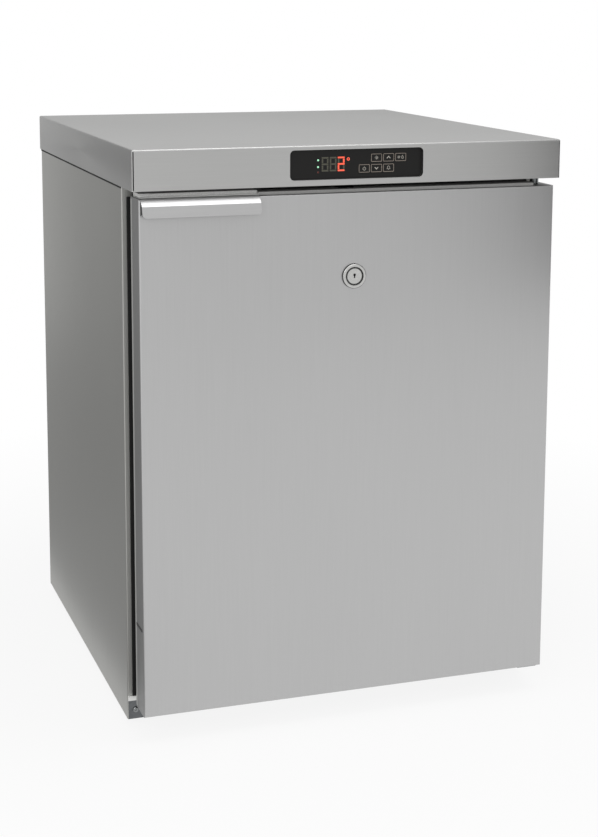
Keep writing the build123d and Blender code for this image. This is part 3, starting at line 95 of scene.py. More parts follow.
class SteelSettings(bpy.types.PropertyGroup):
    """Stainless sheet of the worktop, the door and the sides."""
    # The worktop, handle and sides are the front's stainless with darker colours as painted shade,
    # and the base rail's lighter colour is painted light.
    colour: colour_setting("Front sheet", "Colour of the brushed sheet at the front", "#BDBDBD")
    top_shaded_colour: colour_setting("Worktop sheet", "Colour of the brushed sheet on top", "#B2B2B1")
    side_shaded_colour: colour_setting("Side sheet", "Colour of the brushed side sheets", "#9E9E9B")
    handle_shaded_colour: colour_setting("Handle sheet", "Colour of the handle's sheet", "#B0B0B0")
    rail_lit_colour: colour_setting("Base rail", "Colour of the bright base rail", "#DADADA")
    roughness: share_setting("Roughness", "How far the brushing spreads a reflection", 0.4)
    handle_roughness: share_setting(
        "Handle roughness", "How far the handle spreads a reflection", 0.3)
    # The fold and inside shares are painted shade on the door's folds and on the handle's inner
    # side.
    fold_painted_shade: share_setting(
        "Fold tone", "Tone of the door's folded sides against its front", 0.5)
    inside_painted_shade: share_setting(
        "Inside tone", "Tone of the handle's inner side against its front", 0.1)
    grain_width: length_setting("Grain width", "Width of one drawn brush mark", 1.2)
    grain_length: length_setting("Grain length", "Length of one drawn brush mark", 90.0)


class PanelSettings(bpy.types.PropertyGroup):
    """Control panel, display and keys."""
    moulding_colour: colour_setting("Moulding", "Colour of the panel's moulding", "#100F0E")
    digit_colour: colour_setting("Lit digit", "Colour of the lit bars", "#E4573F")
    dark_digit_colour: colour_setting("Dark digit", "Colour of the unlit bars", "#4E4D40")
    lamp_colour: colour_setting("Lamp", "Colour of the lit lamps", "#9AD9B4")
    line_colour: colour_setting("Key outline", "Colour of the printed key outlines", "#A0958A")
    symbol_colour: colour_setting("Symbol", "Colour of the printed symbols", "#C9C4BA")
    line_width: length_setting("Outline width", "Width of the line round each key", 0.6)
    stroke_width: length_setting("Symbol stroke", "Width of a symbol's strokes", 0.5)
    spent_colour: colour_setting("Unlit lamp", "Colour of the unlit lamp's lens", "#5E2A22")
    lamp_step: length_setting("Lamp step", "From the lower lit lamp to the unlit one", 7.0)
    print_height: length_setting("Print height", "How far the ink stands on a key", 0.05)


class SealSettings(bpy.types.PropertyGroup):
    """Magnetic gasket round the door."""
    colour: colour_setting("Gasket", "Colour of the gasket's soft vinyl", "#121313")
    fold_depth: length_setting("Fold depth", "How deep the bellows folds lie", 1.7)
    steps: IntProperty(
        name="Steps", description="Points between two profile corners", min=1, max=12, default=5)


class InsideSettings(bpy.types.PropertyGroup):
    """Liner, shelves and air cover."""
    liner_colour: colour_setting("Liner", "Colour of the thermoformed liner", "#E8EAE8")
    strip_colour: colour_setting("Strip", "Colour of the strip round the opening", "#8B8E90")
    wire_colour: colour_setting("Shelf wire", "Colour of the plated shelf wire", "#C6C8CA")


class MachineSettings(bpy.types.PropertyGroup):
    """Cooling machine, base and back."""
    sheet_colour: colour_setting("Galvanised sheet", "Colour of the zinc-coated sheet", "#A7AAAC")
    base_colour: colour_setting("Base sheet", "Colour of the base tray's dull sheet", "#6E7072")
    copper_colour: colour_setting("Copper", "Colour of the drawn pipes", "#C07A58")
    paint_colour: colour_setting("Compressor", "Colour of the compressor's paint", "#191A1B")
    spangle: length_setting("Spangle", "Size of a zinc crystal on the sheet", 5.0)


class StageSettings(bpy.types.PropertyGroup):
    """Floor, light and camera."""
    floor_size: length_setting("Floor size", "Side of the square floor", 14000.0)
    shadow: share_setting("Shadow", "How much of the floor's tone shades under the object", 0.12)
    ambient: share_setting("Ambient", "Strength of the even light from all round", 0.5)
    top_lamp: power_setting("Top lamp", "Power of the soft lamp above", 17.0)
    fill_lamp: power_setting("Fill lamp", "Power of the soft lamp in front", 22.0)
    lens: FloatProperty(
        name="Lens", description="Focal length of the camera", unit="CAMERA", min=1.0,
        default=72.59)
    shift: FloatProperty(
        name="Shift", description="How far the frame slides up, in frame heights",
        default=-0.1774)
    camera_place: FloatVectorProperty(
        name="Camera place", description="Where the camera stands", subtype="TRANSLATION",
        size=3, default=(-0.7814, -2.3910, 0.9860))
    camera_yaw: angle_setting("Camera yaw", "How far the camera turns to the right", 0.3279)
    camera_pitch: angle_setting("Camera pitch", "How far the camera looks down", 0.1597)
    camera_roll: angle_setting("Camera roll", "How far the camera tips to the left", 0.0038)


# Small tools

def add_node(tree, kind, values=None, links=None, **settings):
    """Adds one node with its settings, its input values and the sockets that feed it."""
    node = tree.nodes.new(kind)
    for name, value in settings.items():
        setattr(node, name, value)
    for socket, value in (values or {}).items():
        node.inputs[socket].default_value = value
    for socket, source in (links or {}).items():
        tree.links.new(source, node.inputs[socket])
    return node


def start_material(name, colour, metallic, roughness, **sockets):
    """A material with its shader set, and the tree and shader to build its pattern on."""
    material = bpy.data.materials.new(name)
    material.use_nodes = True
    tree = material.node_tree
    shader = tree.nodes["Principled BSDF"]
    sockets.update(base_color=shade(colour, 1.0), metallic=metallic, roughness=roughness)
    for socket, value in sockets.items():
        shader.inputs[socket.replace("_", " ").title().replace("Ior", "IOR")].default_value = value
    return material, tree, shader


def place_pattern(tree, size):
    """Object coordinates, so that one step of a pattern is as long as size says, in metres."""
    sizes = size if isinstance(size, tuple) else (size,) * 3
    where = add_node(tree, "ShaderNodeTexCoord")
    return add_node(
        tree, "ShaderNodeMapping", {"Scale": tuple(1 / s for s in sizes)},
        {"Vector": where.outputs["Object"]}).outputs["Vector"]


def shade(colour, factor):
    return (*[min(1.0, c * factor) for c in linear(colour)], 1.0)


def vary_colour(tree, shader, factor, dark, light):
    """The colour runs between two tones where a pattern runs from 0.3 to 0.7, and is given on."""
    spread = add_node(
        tree, "ShaderNodeMapRange", {"From Min": 0.3, "From Max": 0.7}, {"Value": factor})
    mix = add_node(
        tree, "ShaderNodeMix", {"A": dark, "B": light}, {"Factor": spread.outputs["Result"]},
        data_type="RGBA")
    tree.links.new(mix.outputs["Result"], shader.inputs["Base Color"])
    return mix.outputs["Result"]


def vary_roughness(tree, shader, factor, low, high):
    spread = add_node(
        tree, "ShaderNodeMapRange",
        {"From Min": 0.3, "From Max": 0.7, "To Min": low, "To Max": high}, {"Value": factor})
    tree.links.new(spread.outputs["Result"], shader.inputs["Roughness"])


def raise_surface(tree, shader, height, distance, strength):
    bump = add_node(
        tree, "ShaderNodeBump", {"Distance": distance, "Strength": strength}, {"Height": height})
    tree.links.new(bump.outputs["Normal"], shader.inputs["Normal"])


def patterned(name, colour, metallic, roughness, size, detail, tones, gloss=None, bump=None,
              **sockets):
    """A material whose tone, roughness and surface follow one noise. A tone is a factor of the
    colour or a colour of its own."""
    material, tree, shader = start_material(name, colour, metallic, roughness, **sockets)
    noise = add_node(
        tree, "ShaderNodeTexNoise", {"Scale": 1.0, "Detail": detail},
        {"Vector": place_pattern(tree, size)}).outputs["Fac"]
    vary_colour(tree, shader, noise, *[
        shade(tone, 1.0) if isinstance(tone, str) else shade(colour, tone) for tone in tones])
    if gloss:
        vary_roughness(tree, shader, noise, *gloss)
    if bump:
        raise_surface(tree, shader, noise, *bump)
    return material


# Materials

def paint_shade_by_facing(tree, shader, tone, both_ways, start, end, start_tone, end_tone):
    """Painted light and shade: the colour is made darker or lighter by how far a face turns to the
    back, or both ways.
    """
    facing = add_node(tree, "ShaderNodeSeparateXYZ", links={
        0: add_node(tree, "ShaderNodeTexCoord").outputs["Normal"]}).outputs["Y"]
    if both_ways:
        facing = add_node(
            tree, "ShaderNodeMath", links={0: facing}, operation="ABSOLUTE").outputs[0]
    level = add_node(
        tree, "ShaderNodeMapRange",
        {"From Min": start, "From Max": end, "To Min": start_tone, "To Max": end_tone},
        {"Value": facing})
    toned = add_node(
        tree, "ShaderNodeMix", {"Factor": 1.0}, {"A": tone, "B": level.outputs["Result"]},
        data_type="RGBA", blend_type="MULTIPLY")
    tree.links.new(toned.outputs["Result"], shader.inputs["Base Color"])


def brushed_stainless(name, colour, grain, settings, roughness, facing=None):
    """Austenitic stainless sheet, belt-brushed along one axis."""
    # Brushing leaves short parallel scratches: reflections smear into soft pale fields without
    # a mirror image. Real scratches lie 0.05 mm apart and are drawn wider, so that they show.
    # Where facing is given, faces that turn away take painted shade or painted light.
    material, tree, shader = start_material(name, colour, 1.0, roughness, anisotropic=0.4)
    size = [settings.grain_width] * 3
    size["xyz".index(grain)] = settings.grain_length
    marks, wiping = (
        add_node(tree, "ShaderNodeTexNoise", {"Scale": 1.0, "Detail": detail},
                 {"Vector": place_pattern(tree, step)}).outputs["Fac"]
        for step, detail in ((tuple(size), 3.0), (220 * MM, 2.0)))
    both = add_node(
        tree, "ShaderNodeMix", {"Factor": 0.35}, {"A": marks, "B": wiping},
        data_type="FLOAT").outputs["Result"]
    tone = vary_colour(tree, shader, both, shade(colour, 0.975), shade(colour, 1.025))
    vary_roughness(tree, shader, both, roughness - 0.03, roughness + 0.03)
    raise_surface(tree, shader, marks, 0.01 * MM, 0.3)
    # Painted shade and painted light by which way each face turns
    if facing:
        paint_shade_by_facing(tree, shader, tone, *facing)
    turn = add_node(tree, "ShaderNodeTangent", direction_type="RADIAL", axis=grain.upper())
    tree.links.new(turn.outputs["Tangent"], shader.inputs["Tangent"])
    return material


def galvanised_sheet(name, colour, spangle):
    """Hot-dip galvanised steel sheet, left bare."""
    # The zinc freezes in flat crystals, each of which catches the light at its own angle.
    material, tree, shader = start_material(name, colour, 0.9, 0.45)
    crystals = add_node(
        tree, "ShaderNodeTexVoronoi", {"Scale": 1.0, "Randomness": 1.0},
        {"Vector": place_pattern(tree, spangle)})
    tone = add_node(tree, "ShaderNodeSeparateColor", links={"Color": crystals.outputs["Color"]})
    vary_colour(tree, shader, tone.outputs["Red"], shade(colour, 0.95), shade(colour, 1.03))
    vary_roughness(tree, shader, tone.outputs["Green"], 0.41, 0.49)
    return material


def thermoformed_liner(name, colour):
    """White high-impact polystyrene sheet, vacuum-formed."""
    # Forming over a warm mould leaves a soft gloss with a faint, slow ripple.
    return patterned(
        name, colour, 0.0, 0.32, 14 * MM, 2.0, (0.975, 1.01), (0.28, 0.36), (0.25 * MM, 0.3),
        ior=1.59)


def moulded_plastic(name, colour, roughness, grit, depth, specular=0.5):
    """Injection-moulded plastic from a spark-eroded mould; grit and depth in millimetres."""
    # The mould's fine pits break the gloss up into a satin that hides fingerprints.
    return patterned(
        name, colour, 0.0, roughness, grit * MM, 4.0, (0.9, 1.1),
        (roughness - 0.05, roughness + 0.06), (depth * MM, 0.6), ior=1.5,
        specular_ior_level=specular)


def insulation_foam(name, colour):
    """Rigid polyurethane foam, grown in place."""
    # The cut or pressed skin shows small closed cells in straw yellow.
    material, tree, shader = start_material(name, colour, 0.0, 0.9)
    cells = add_node(
        tree, "ShaderNodeTexVoronoi", {"Scale": 1.0, "Randomness": 1.0},
        {"Vector": place_pattern(tree, 2.2 * MM)}).outputs["Distance"]
    vary_colour(tree, shader, cells, shade(colour, 1.05), shade(colour, 0.8))
    raise_surface(tree, shader, cells, 0.6 * MM, 0.5)
    return material


def plated_metal(name, colour, roughness, blotch):
    """Steel or brass under an electroplated layer; blotch in millimetres."""
    # The bright layer follows the base metal: clean highlights over faint cloudy patches.
    return patterned(
        name, colour, 1.0, roughness, blotch * MM, 3.0, (0.94, 1.03),
        (roughness - 0.04, roughness + 0.05))


def mill_aluminium(name):
    """Rolled aluminium, left as it came from the mill."""
    # Rolling draws long faint lines, duller than plating.
    return patterned(
        name, "#BDC0C3", 1.0, 0.4, (1.5 * MM, 30 * MM, 1.5 * MM), 3.0, (0.9, 1.05), (0.34, 0.48))


def drawn_copper(name, colour):
    """Soft copper pipe, bent by hand and brazed."""
    # Drawn metal shines, and handling leaves brown patches of tarnish.
    return patterned(name, colour, 1.0, 0.28, 25 * MM, 4.0, ("#8E5B43", 1.0), (0.42, 0.24))


def stoved_paint(name, colour):
    """Black paint, dipped and stoved on deep-drawn steel."""
    # Stoving leaves a gloss with the slight ripple of orange peel.
    return patterned(
        name, colour, 0.0, 0.28, 3 * MM, 2.0, (0.85, 1.2), (0.22, 0.34), (0.2 * MM, 0.35),
        coat_weight=0.3, coat_roughness=0.15)


def soft_vinyl(name, colour):
    """Plasticised PVC, extruded and welded at the corners."""
    # Extrusion leaves fine lines and a dull, slightly greasy sheen.
    return patterned(
        name, colour, 0.0, 0.55, (20 * MM, 0.6 * MM, 20 * MM), 3.0, (0.85, 1.15), (0.48, 0.62),
        (0.05 * MM, 0.4), ior=1.54, specular_ior_level=0.2)


def lit_moulding(name, colour, glow):
    """Clear-tinted epoxy over a light-emitting chip."""
    # The epoxy spreads the chip's light, and the bar looks evenly lit with a soft mottle.
    return patterned(
        name, colour, 0.0, 0.35, 1.4 * MM, 2.0, (0.8, 1.1), emission_color=shade(colour, 1.0),
        emission_strength=glow)


def circuit_board(name, colour, tracks_colour):
    """Glass-epoxy board under green solder mask."""
    # The lacquer is glossy, and the tracks under it show as paler green paths.
    material, tree, shader = start_material(name, colour, 0.0, 0.3)
    tracks = add_node(
        tree, "ShaderNodeTexBrick",
        {"Color1": shade(colour, 1.0), "Color2": shade(colour, 0.85),
         "Mortar": shade(tracks_colour, 1.0), "Scale": 1.0, "Mortar Size": 0.08},
        {"Vector": place_pattern(tree, 6 * MM)})
    tree.links.new(tracks.outputs["Color"], shader.inputs["Base Color"])
    return material


def screen_ink(name, colour):
    """Screen-printed ink, dried on the keys."""
    # The mesh of the screen leaves the ink slightly uneven and quite matt.
    return patterned(name, colour, 0.0, 0.6, 0.6 * MM, 2.0, (0.88, 1.08))


# Mesh tools

def dress(material, *nodes):
    """Gives CAD nodes their material."""
    for name in nodes:
        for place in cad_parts[name].material_slots:
            place.material = material


def new_object(name, bm, material):
    """Turns a bmesh into an object of one material in the scene."""
    mesh = bpy.data.meshes.new(name)
    bm.to_mesh(mesh)
    bm.free()
    mesh.materials.append(material)
    piece = bpy.data.objects.new(name, mesh)
    bpy.context.scene.collection.objects.link(piece)
    return piece


def finish_piece(name, bm, material, body, smooth=40.0):
    """Turns a bmesh into a piece of one material that rides on a body."""
    bmesh.ops.recalc_face_normals(bm, faces=bm.faces)
    piece = new_object(name, bm, material)
    piece.data.shade_smooth()
    piece.data.set_sharp_from_angle(angle=math.radians(smooth))
    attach(piece, body)
    return piece


def skin(bm, rings, looped=False):
    """Joins rings of points that match, and closes both ends or joins the last to the first."""
    rings = [[bm.verts.new(point) for point in ring] for ring in rings]
    count = len(rings[0])
    for ring, following in zip(rings, rings[1:] + rings[:1] if looped else rings[1:]):
        for i in range(count):
            j = (i + 1) % count
            bm.faces.new((ring[i], ring[j], following[j], following[i]))
    if not looped:
        bm.faces.new(rings[0])
        bm.faces.new(rings[-1])


def smooth_loop(points, steps):
    """A closed smooth line through given points, with that many steps between two."""
    line = []
    for i in range(len(points)):
        p0, p1, p2, p3 = (Vector(points[(i + k - 1) % len(points)]) for k in range(4))
        for t in (s / steps for s in range(steps)):
            line.append(0.5 * (
                2 * p1 + (p2 - p0) * t + (2 * p0 - 5 * p1 + 4 * p2 - p3) * t ** 2
                + (3 * p1 - p0 - 3 * p2 + p3) * t ** 3))
    return line


def sweep_round(bm, profile, low, high):
    """Carries a profile of (inset, y) round an upright rectangle with mitred corners."""
    corners = ((low.x, low.z, 1, 1), (high.x, low.z, -1, 1),
               (high.x, high.z, -1, -1), (low.x, high.z, 1, -1))
    skin(bm, [[(x + sx * inset, y, z + sz * inset) for inset, y in profile]
              for x, z, sx, sz in corners], looped=True)


def turned(bm, profile, centre, count):
    """Turns a profile of (radius, y) about a line along y. It is closed, or starts and ends on
    the line with a radius of 0."""
    rings = []
    for radius, height in profile:
        turns = (2 * math.pi * i / count for i in range(count if radius > 0.0 else 1))
        rings.append([bm.verts.new((
            centre[0] + radius * math.cos(a), centre[1] + height,
            centre[2] + radius * math.sin(a))) for a in turns])
    pairs = list(zip(rings, rings[1:]))
    if profile[0][0] > 0.0:
        pairs.append((rings[-1], rings[0]))
    for inner, outer in pairs:
        for i in range(count):
            j = (i + 1) % count
            corners = (inner[i % len(inner)], inner[j % len(inner)],
                       outer[j % len(outer)], outer[i % len(outer)])
            bm.faces.new(list(dict.fromkeys(corners)))


def slab(bm, outline, low, high):
    """Raises a plan outline of (x, y) from one height to another."""
    skin(bm, [[(x, y, z) for x, y in outline] for z in (low, high)])


def strip(bm, x, y, z):
    """A straight strip between its two x, its two y and its two z."""
    slab(bm, [(x[0], y[0]), (x[1], y[0]), (x[1], y[1]), (x[0], y[1])], *z)


def ribbon(bm, points, width, centre, front, back, closed=False):
    """A flat raised stroke along points (x, z) round a centre, mitred at its corners."""
    count = len(points)
    line = [Vector(p) for p in points]
    sides = []
    for i, p in enumerate(line):
        before = line[i - 1] if i or closed else None
        after = line[(i + 1) % count] if i < count - 1 or closed else None
        d1 = (p - before).normalized() if before is not None else (after - p).normalized()
        d2 = (after - p).normalized() if after is not None else d1
        n1, n2 = Vector((-d1.y, d1.x)), Vector((-d2.y, d2.x))
        across = (n1 + n2).normalized()
        across *= min(2.0, 1 / max(0.2, across.dot(n1))) * width / 2
        sides.append([(centre[0] + q.x, y, centre[1] + q.y) for q, y in (
            (p + across, front), (p - across, front), (p - across, back), (p + across, back))])
    skin(bm, sides, looped=closed)


def arc(radius, start, end, count, x=0.0, z=0.0):
    """Points of a circle's arc, with its angles in degrees."""
    turns = (math.radians(start + (end - start) * i / count) for i in range(count + 1))
    return [(x + radius * math.cos(a), z + radius * math.sin(a)) for a in turns]


def rounded_box(half_width, half_height, radius):
    """The corner points of an upright rectangle with rounded corners."""
    points = []
    for sx, sz, start in ((1, 1, 0), (-1, 1, 90), (-1, -1, 180), (1, -1, 270)):
        points += arc(radius, start, start + 90, 6,
                      sx * (half_width - radius), sz * (half_height - radius))
    return points


# Operators

class FREEZER_OT_steelwork(bpy.types.Operator):
    """Brushes the stainless sheets and plugs the door's foaming slot"""
    bl_idname = "freezer.steelwork"
    bl_label = "Stainless sheets"

    def execute(self, context):
        steel = context.scene.freezer_steel
        soft, bright = steel.roughness, steel.handle_roughness
        # Name, colour, grain, roughness, nodes, and the painted shade and painted light of faces
        # that turn away
        for name, colour, grain, roughness, nodes, facing in (
                # Worktop: painted shade on its top, sides and bend, and painted light on its front
                ("top", steel.top_shaded_colour, "x", soft, ("worktop", "top_rail"),
                 (True, 0.85, 0.98, 0.86, 1.06)),
                ("rail", steel.rail_lit_colour, "x", bright, ("base_rail",), None),
                # Handle: painted shade on its inner side
                ("handle", steel.handle_shaded_colour, "x", bright, ("handle_lip",),
                 (False, 0.2, 0.7, 1.0, steel.inside_painted_shade)),
                # Door: painted shade on its folded sides, top and bottom
                ("door", steel.colour, "z", soft, ("door_outer",),
                 (True, 0.2, 0.7, steel.fold_painted_shade, 1.0)),
                # Sides: painted light on their front returns
                ("side", steel.side_shaded_colour, "z", soft, ("left_side_panel", "right_side_panel"),
                 (True, 0.3, 0.9, 1.0, 1.3))):
            dress(brushed_stainless(
                f"Stainless_brushed_{name}", colour, grain, steel, roughness, facing), *nodes)
        self.slot_plug()
        return {"FINISHED"}

    def slot_plug(self):
        """The black plug in the foaming slot of the door's left side."""
        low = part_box("door_outer")[0]
        half_length, half_height, rise = 16.5 * MM, 2.1 * MM, 0.4 * MM
        y, z = low.y + 22.5 * MM, low.z + 119 * MM
        # How far each ring of the plug's rim shrinks, and its share of the rise
        rim = ((0.0, 0.0), (0.0, 0.5), (0.5 * MM, 1.0), (1.3 * MM, 0.7))
        bm = bmesh.new()
        skin(bm, [[(low.x - rise * share, y + u, z + v) for u, v in rounded_box(
            half_length - shrink, half_height - shrink, half_height - shrink)]
            for shrink, share in rim])
        finish_piece("Foaming_slot_plug", bm, moulded_plastic(
            "Polyethylene_moulded_black", "#141414", 0.5, 0.8, 0.02), "door")


class FREEZER_OT_casing(bpy.types.Operator):
    """Coats the base, back, compartment lining and grille with zinc, and dresses the glides"""
    bl_idname = "freezer.casing"
    bl_label = "Base, back and grille"

    def execute(self, context):
        machine = context.scene.freezer_machine
        dress(galvanised_sheet("Galvanised_steel_sheet", machine.sheet_colour, machine.spangle),
              "back_panel", "machine_housing", "rear_grille", "fan_shroud")
        # The base tray's sheet takes a darker tone than the other zinc sheet.
        dress(galvanised_sheet("Galvanised_steel_sheet_darker", machine.base_colour,
                               machine.spangle), "base_tray")
        dress(moulded_plastic("Nylon_moulded_black", "#1C1D1E", 0.55, 0.8, 0.03),
              "feet", "hinge_bushes")
        return {"FINISHED"}


class FREEZER_OT_hinges(bpy.types.Operator):
    """Plates the hinge brackets and pins with zinc"""
    bl_idname = "freezer.hinges"
    bl_label = "Hinges"

    def execute(self, context):
        dress(plated_metal("Zinc_plated_steel", "#A2A4A6", 0.34, 6),
              "top_hinge_bracket", "bottom_hinge_bracket")
        dress(plated_metal("Steel_turned_bright", "#7C7F80", 0.24, 4), "hinge_pins")
        return {"FINISHED"}


class FREEZER_OT_screws(bpy.types.Operator):
    """Builds the pan-head screws with their cross recesses"""
    bl_idname = "freezer.screws"
    bl_label = "Screws"

    def execute(self, context):
        bm = bmesh.new()
        for low, high in self.places(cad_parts["screws"].data):
            self.screw(bm, low, high)
        piece = finish_piece("Pan_head_screws", bm, plated_metal(
            "Zinc_plated_screw", "#8E9091", 0.3, 2), "cabinet")
        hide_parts("screws")
        return {"FINISHED"}

    def places(self, mesh):
        """The box of each screw in the CAD node, whose head and shank may be apart."""
        bm = bmesh.new()
        bm.from_mesh(mesh)
        seen, boxes = set(), []
        for start in bm.verts:
            if start in seen:
                continue
            stack, points = [start], []
            seen.add(start)
            while stack:
                vertex = stack.pop()
                points.append(vertex.co.copy())
                others = {edge.other_vert(vertex) for edge in vertex.link_edges} - seen
                seen |= others
                stack += others
            low, high = (Vector(map(f, *points)) for f in (min, max))
            for other in boxes:
                apart = (low + high - other[0] - other[1]) / 2
                if max(abs(apart.x), abs(apart.z)) < 3 * MM and abs(apart.y) < 30 * MM:
                    other[0] = Vector(map(min, other[0], low))
                    other[1] = Vector(map(max, other[1], high))
                    break
            else:
                boxes.append([low, high])
        bm.free()
        return boxes

    def screw(self, bm, low, high):
        """One screw in the box of its CAD solid: domed head with a cross recess, and shank."""
        x, z = (low.x + high.x) / 2, (low.z + high.z) / 2
        outward = -1 if low.y < 0 else 1
        tip, end = (low.y, high.y) if outward < 0 else (high.y, low.y)
        radius = min(high.x - low.x, high.z - low.z) / 2
        height = min(2.2 * MM, abs(end - tip) * 0.4)
        shank, arm, arm_half, deep = radius * 0.5, radius * 0.52, radius * 0.14, height * 0.6
        # Each direction round the screw, with the recess's reach in it
        outline = []
        for i in range(32):
            c, s = (f(2 * math.pi * (i + 0.5) / 32) for f in (math.cos, math.sin))
            big, small = max(abs(c), abs(s)), min(abs(c), abs(s))
            outline.append((c, s, min(arm / big, arm_half / small)))
        # From the recess's floor over its rim and the dome, then under the head to the tip
        levels = [(lambda r: r * 0.55, tip - outward * deep),
                  (lambda r: r, tip - outward * 0.05 * MM)]
        for share, fall in ((0.66, 0.06), (0.84, 0.3), (0.96, 0.62), (1.0, 1.0)):
            levels.append((lambda r, k=share: max(r, radius * k), tip - outward * height * fall))
        levels += [(lambda r: shank, tip - outward * height),
                   (lambda r: shank, end + outward * shank * 0.4), (lambda r: shank * 0.6, end)]
        skin(bm, [[(x + c * reach(r), y, z + s * reach(r)) for c, s, r in outline]
                  for reach, y in levels])


class FREEZER_OT_lock(bpy.types.Operator):
    """Plates the lock and sets its dust seal, its rings of painted shade on the plug and round the
    collar, and the keyhole's painted shade
    """
    bl_idname = "freezer.lock"
    bl_label = "Lock"

    def execute(self, context):
        dress(plated_metal("Nickel_plated_brass", "#CACAC8", 0.28, 4),
              "lock_barrel", "lock_cylinder")
        # Black rubber for the dust seal, and the same black as painted shade for the two other
        # rings
        rubber_and_painted_shade = moulded_plastic("Nitrile_black_and_painted_shade", "#121212", 0.6, 0.6, 0.02)
        low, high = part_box("lock_cylinder")
        barrel_low, barrel_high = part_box("lock_barrel")
        plug, barrel = (high.x - low.x) / 2, (barrel_high.x - barrel_low.x) / 2
        centre = ((barrel_low.x + barrel_high.x) / 2, barrel_low.y,
                  (barrel_low.z + barrel_high.z) / 2)
        # Depths behind the barrel's face of the door's face and of the plug's
        door_face, plug_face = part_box("door_outer")[0].y - centre[1], low.y - centre[1]
        # The plug ring is painted shade for the plug's recess, and the thin ring outside the
        # collar is painted shadow round its edge.
        for name, body, inner, outer, front, back in (
                ("Lock_dust_seal", "door", plug + 0.08 * MM, plug + 1.12 * MM, 0.6 * MM,
                 door_face - 0.05 * MM),
                ("Lock_plug_painted_shade", "lock_cylinder", plug - 1.1 * MM, plug - 0.1 * MM,
                 plug_face - 0.25 * MM, plug_face),
                ("Lock_collar_painted_shadow", "door", barrel + 0.05 * MM, barrel + 0.4 * MM,
                 door_face - 2 * MM, door_face)):
            edge = min(outer - inner, back - front) * 0.3
            bm = bmesh.new()
            turned(bm, ((inner, back), (inner, front + edge), (inner + edge, front),
                        (outer - edge, front), (outer, front + edge), (outer, back)), centre, 64)
            finish_piece(name, bm, rubber_and_painted_shade, body)
        self.keyway(centre, low.y)
        dress(plated_metal("Zinc_plated_lock_parts", "#AEB0B1", 0.36, 6), "lock_case", "lock_bolt")
        return {"FINISHED"}

    def keyway(self, centre, face):
        """The dark piece that closes the keyhole a little behind the plug's face: painted shade
        for the keyhole's depth.
        """
        half_width, foot, top, rise, sunk, thick = (
            0.6 * MM, -2.2 * MM, 1.7 * MM, 1.8 * MM, 0.4 * MM, 0.8 * MM)
        outline = arc(top, -20, 200, 16, 0.0, rise) + [(-half_width, foot), (half_width, foot)]
        bm = bmesh.new()
        skin(bm, [[(centre[0] + x, y, centre[2] + z) for x, z in outline]
                  for y in (face + sunk, face + sunk + thick)])
        # Painted shade: the black piece makes the keyhole read deep
        finish_piece("Keyhole_painted_shade", bm, moulded_plastic(
            "Painted_shade_keyhole_black", "#080808", 0.7, 0.6, 0.01, 0.1), "lock_cylinder")


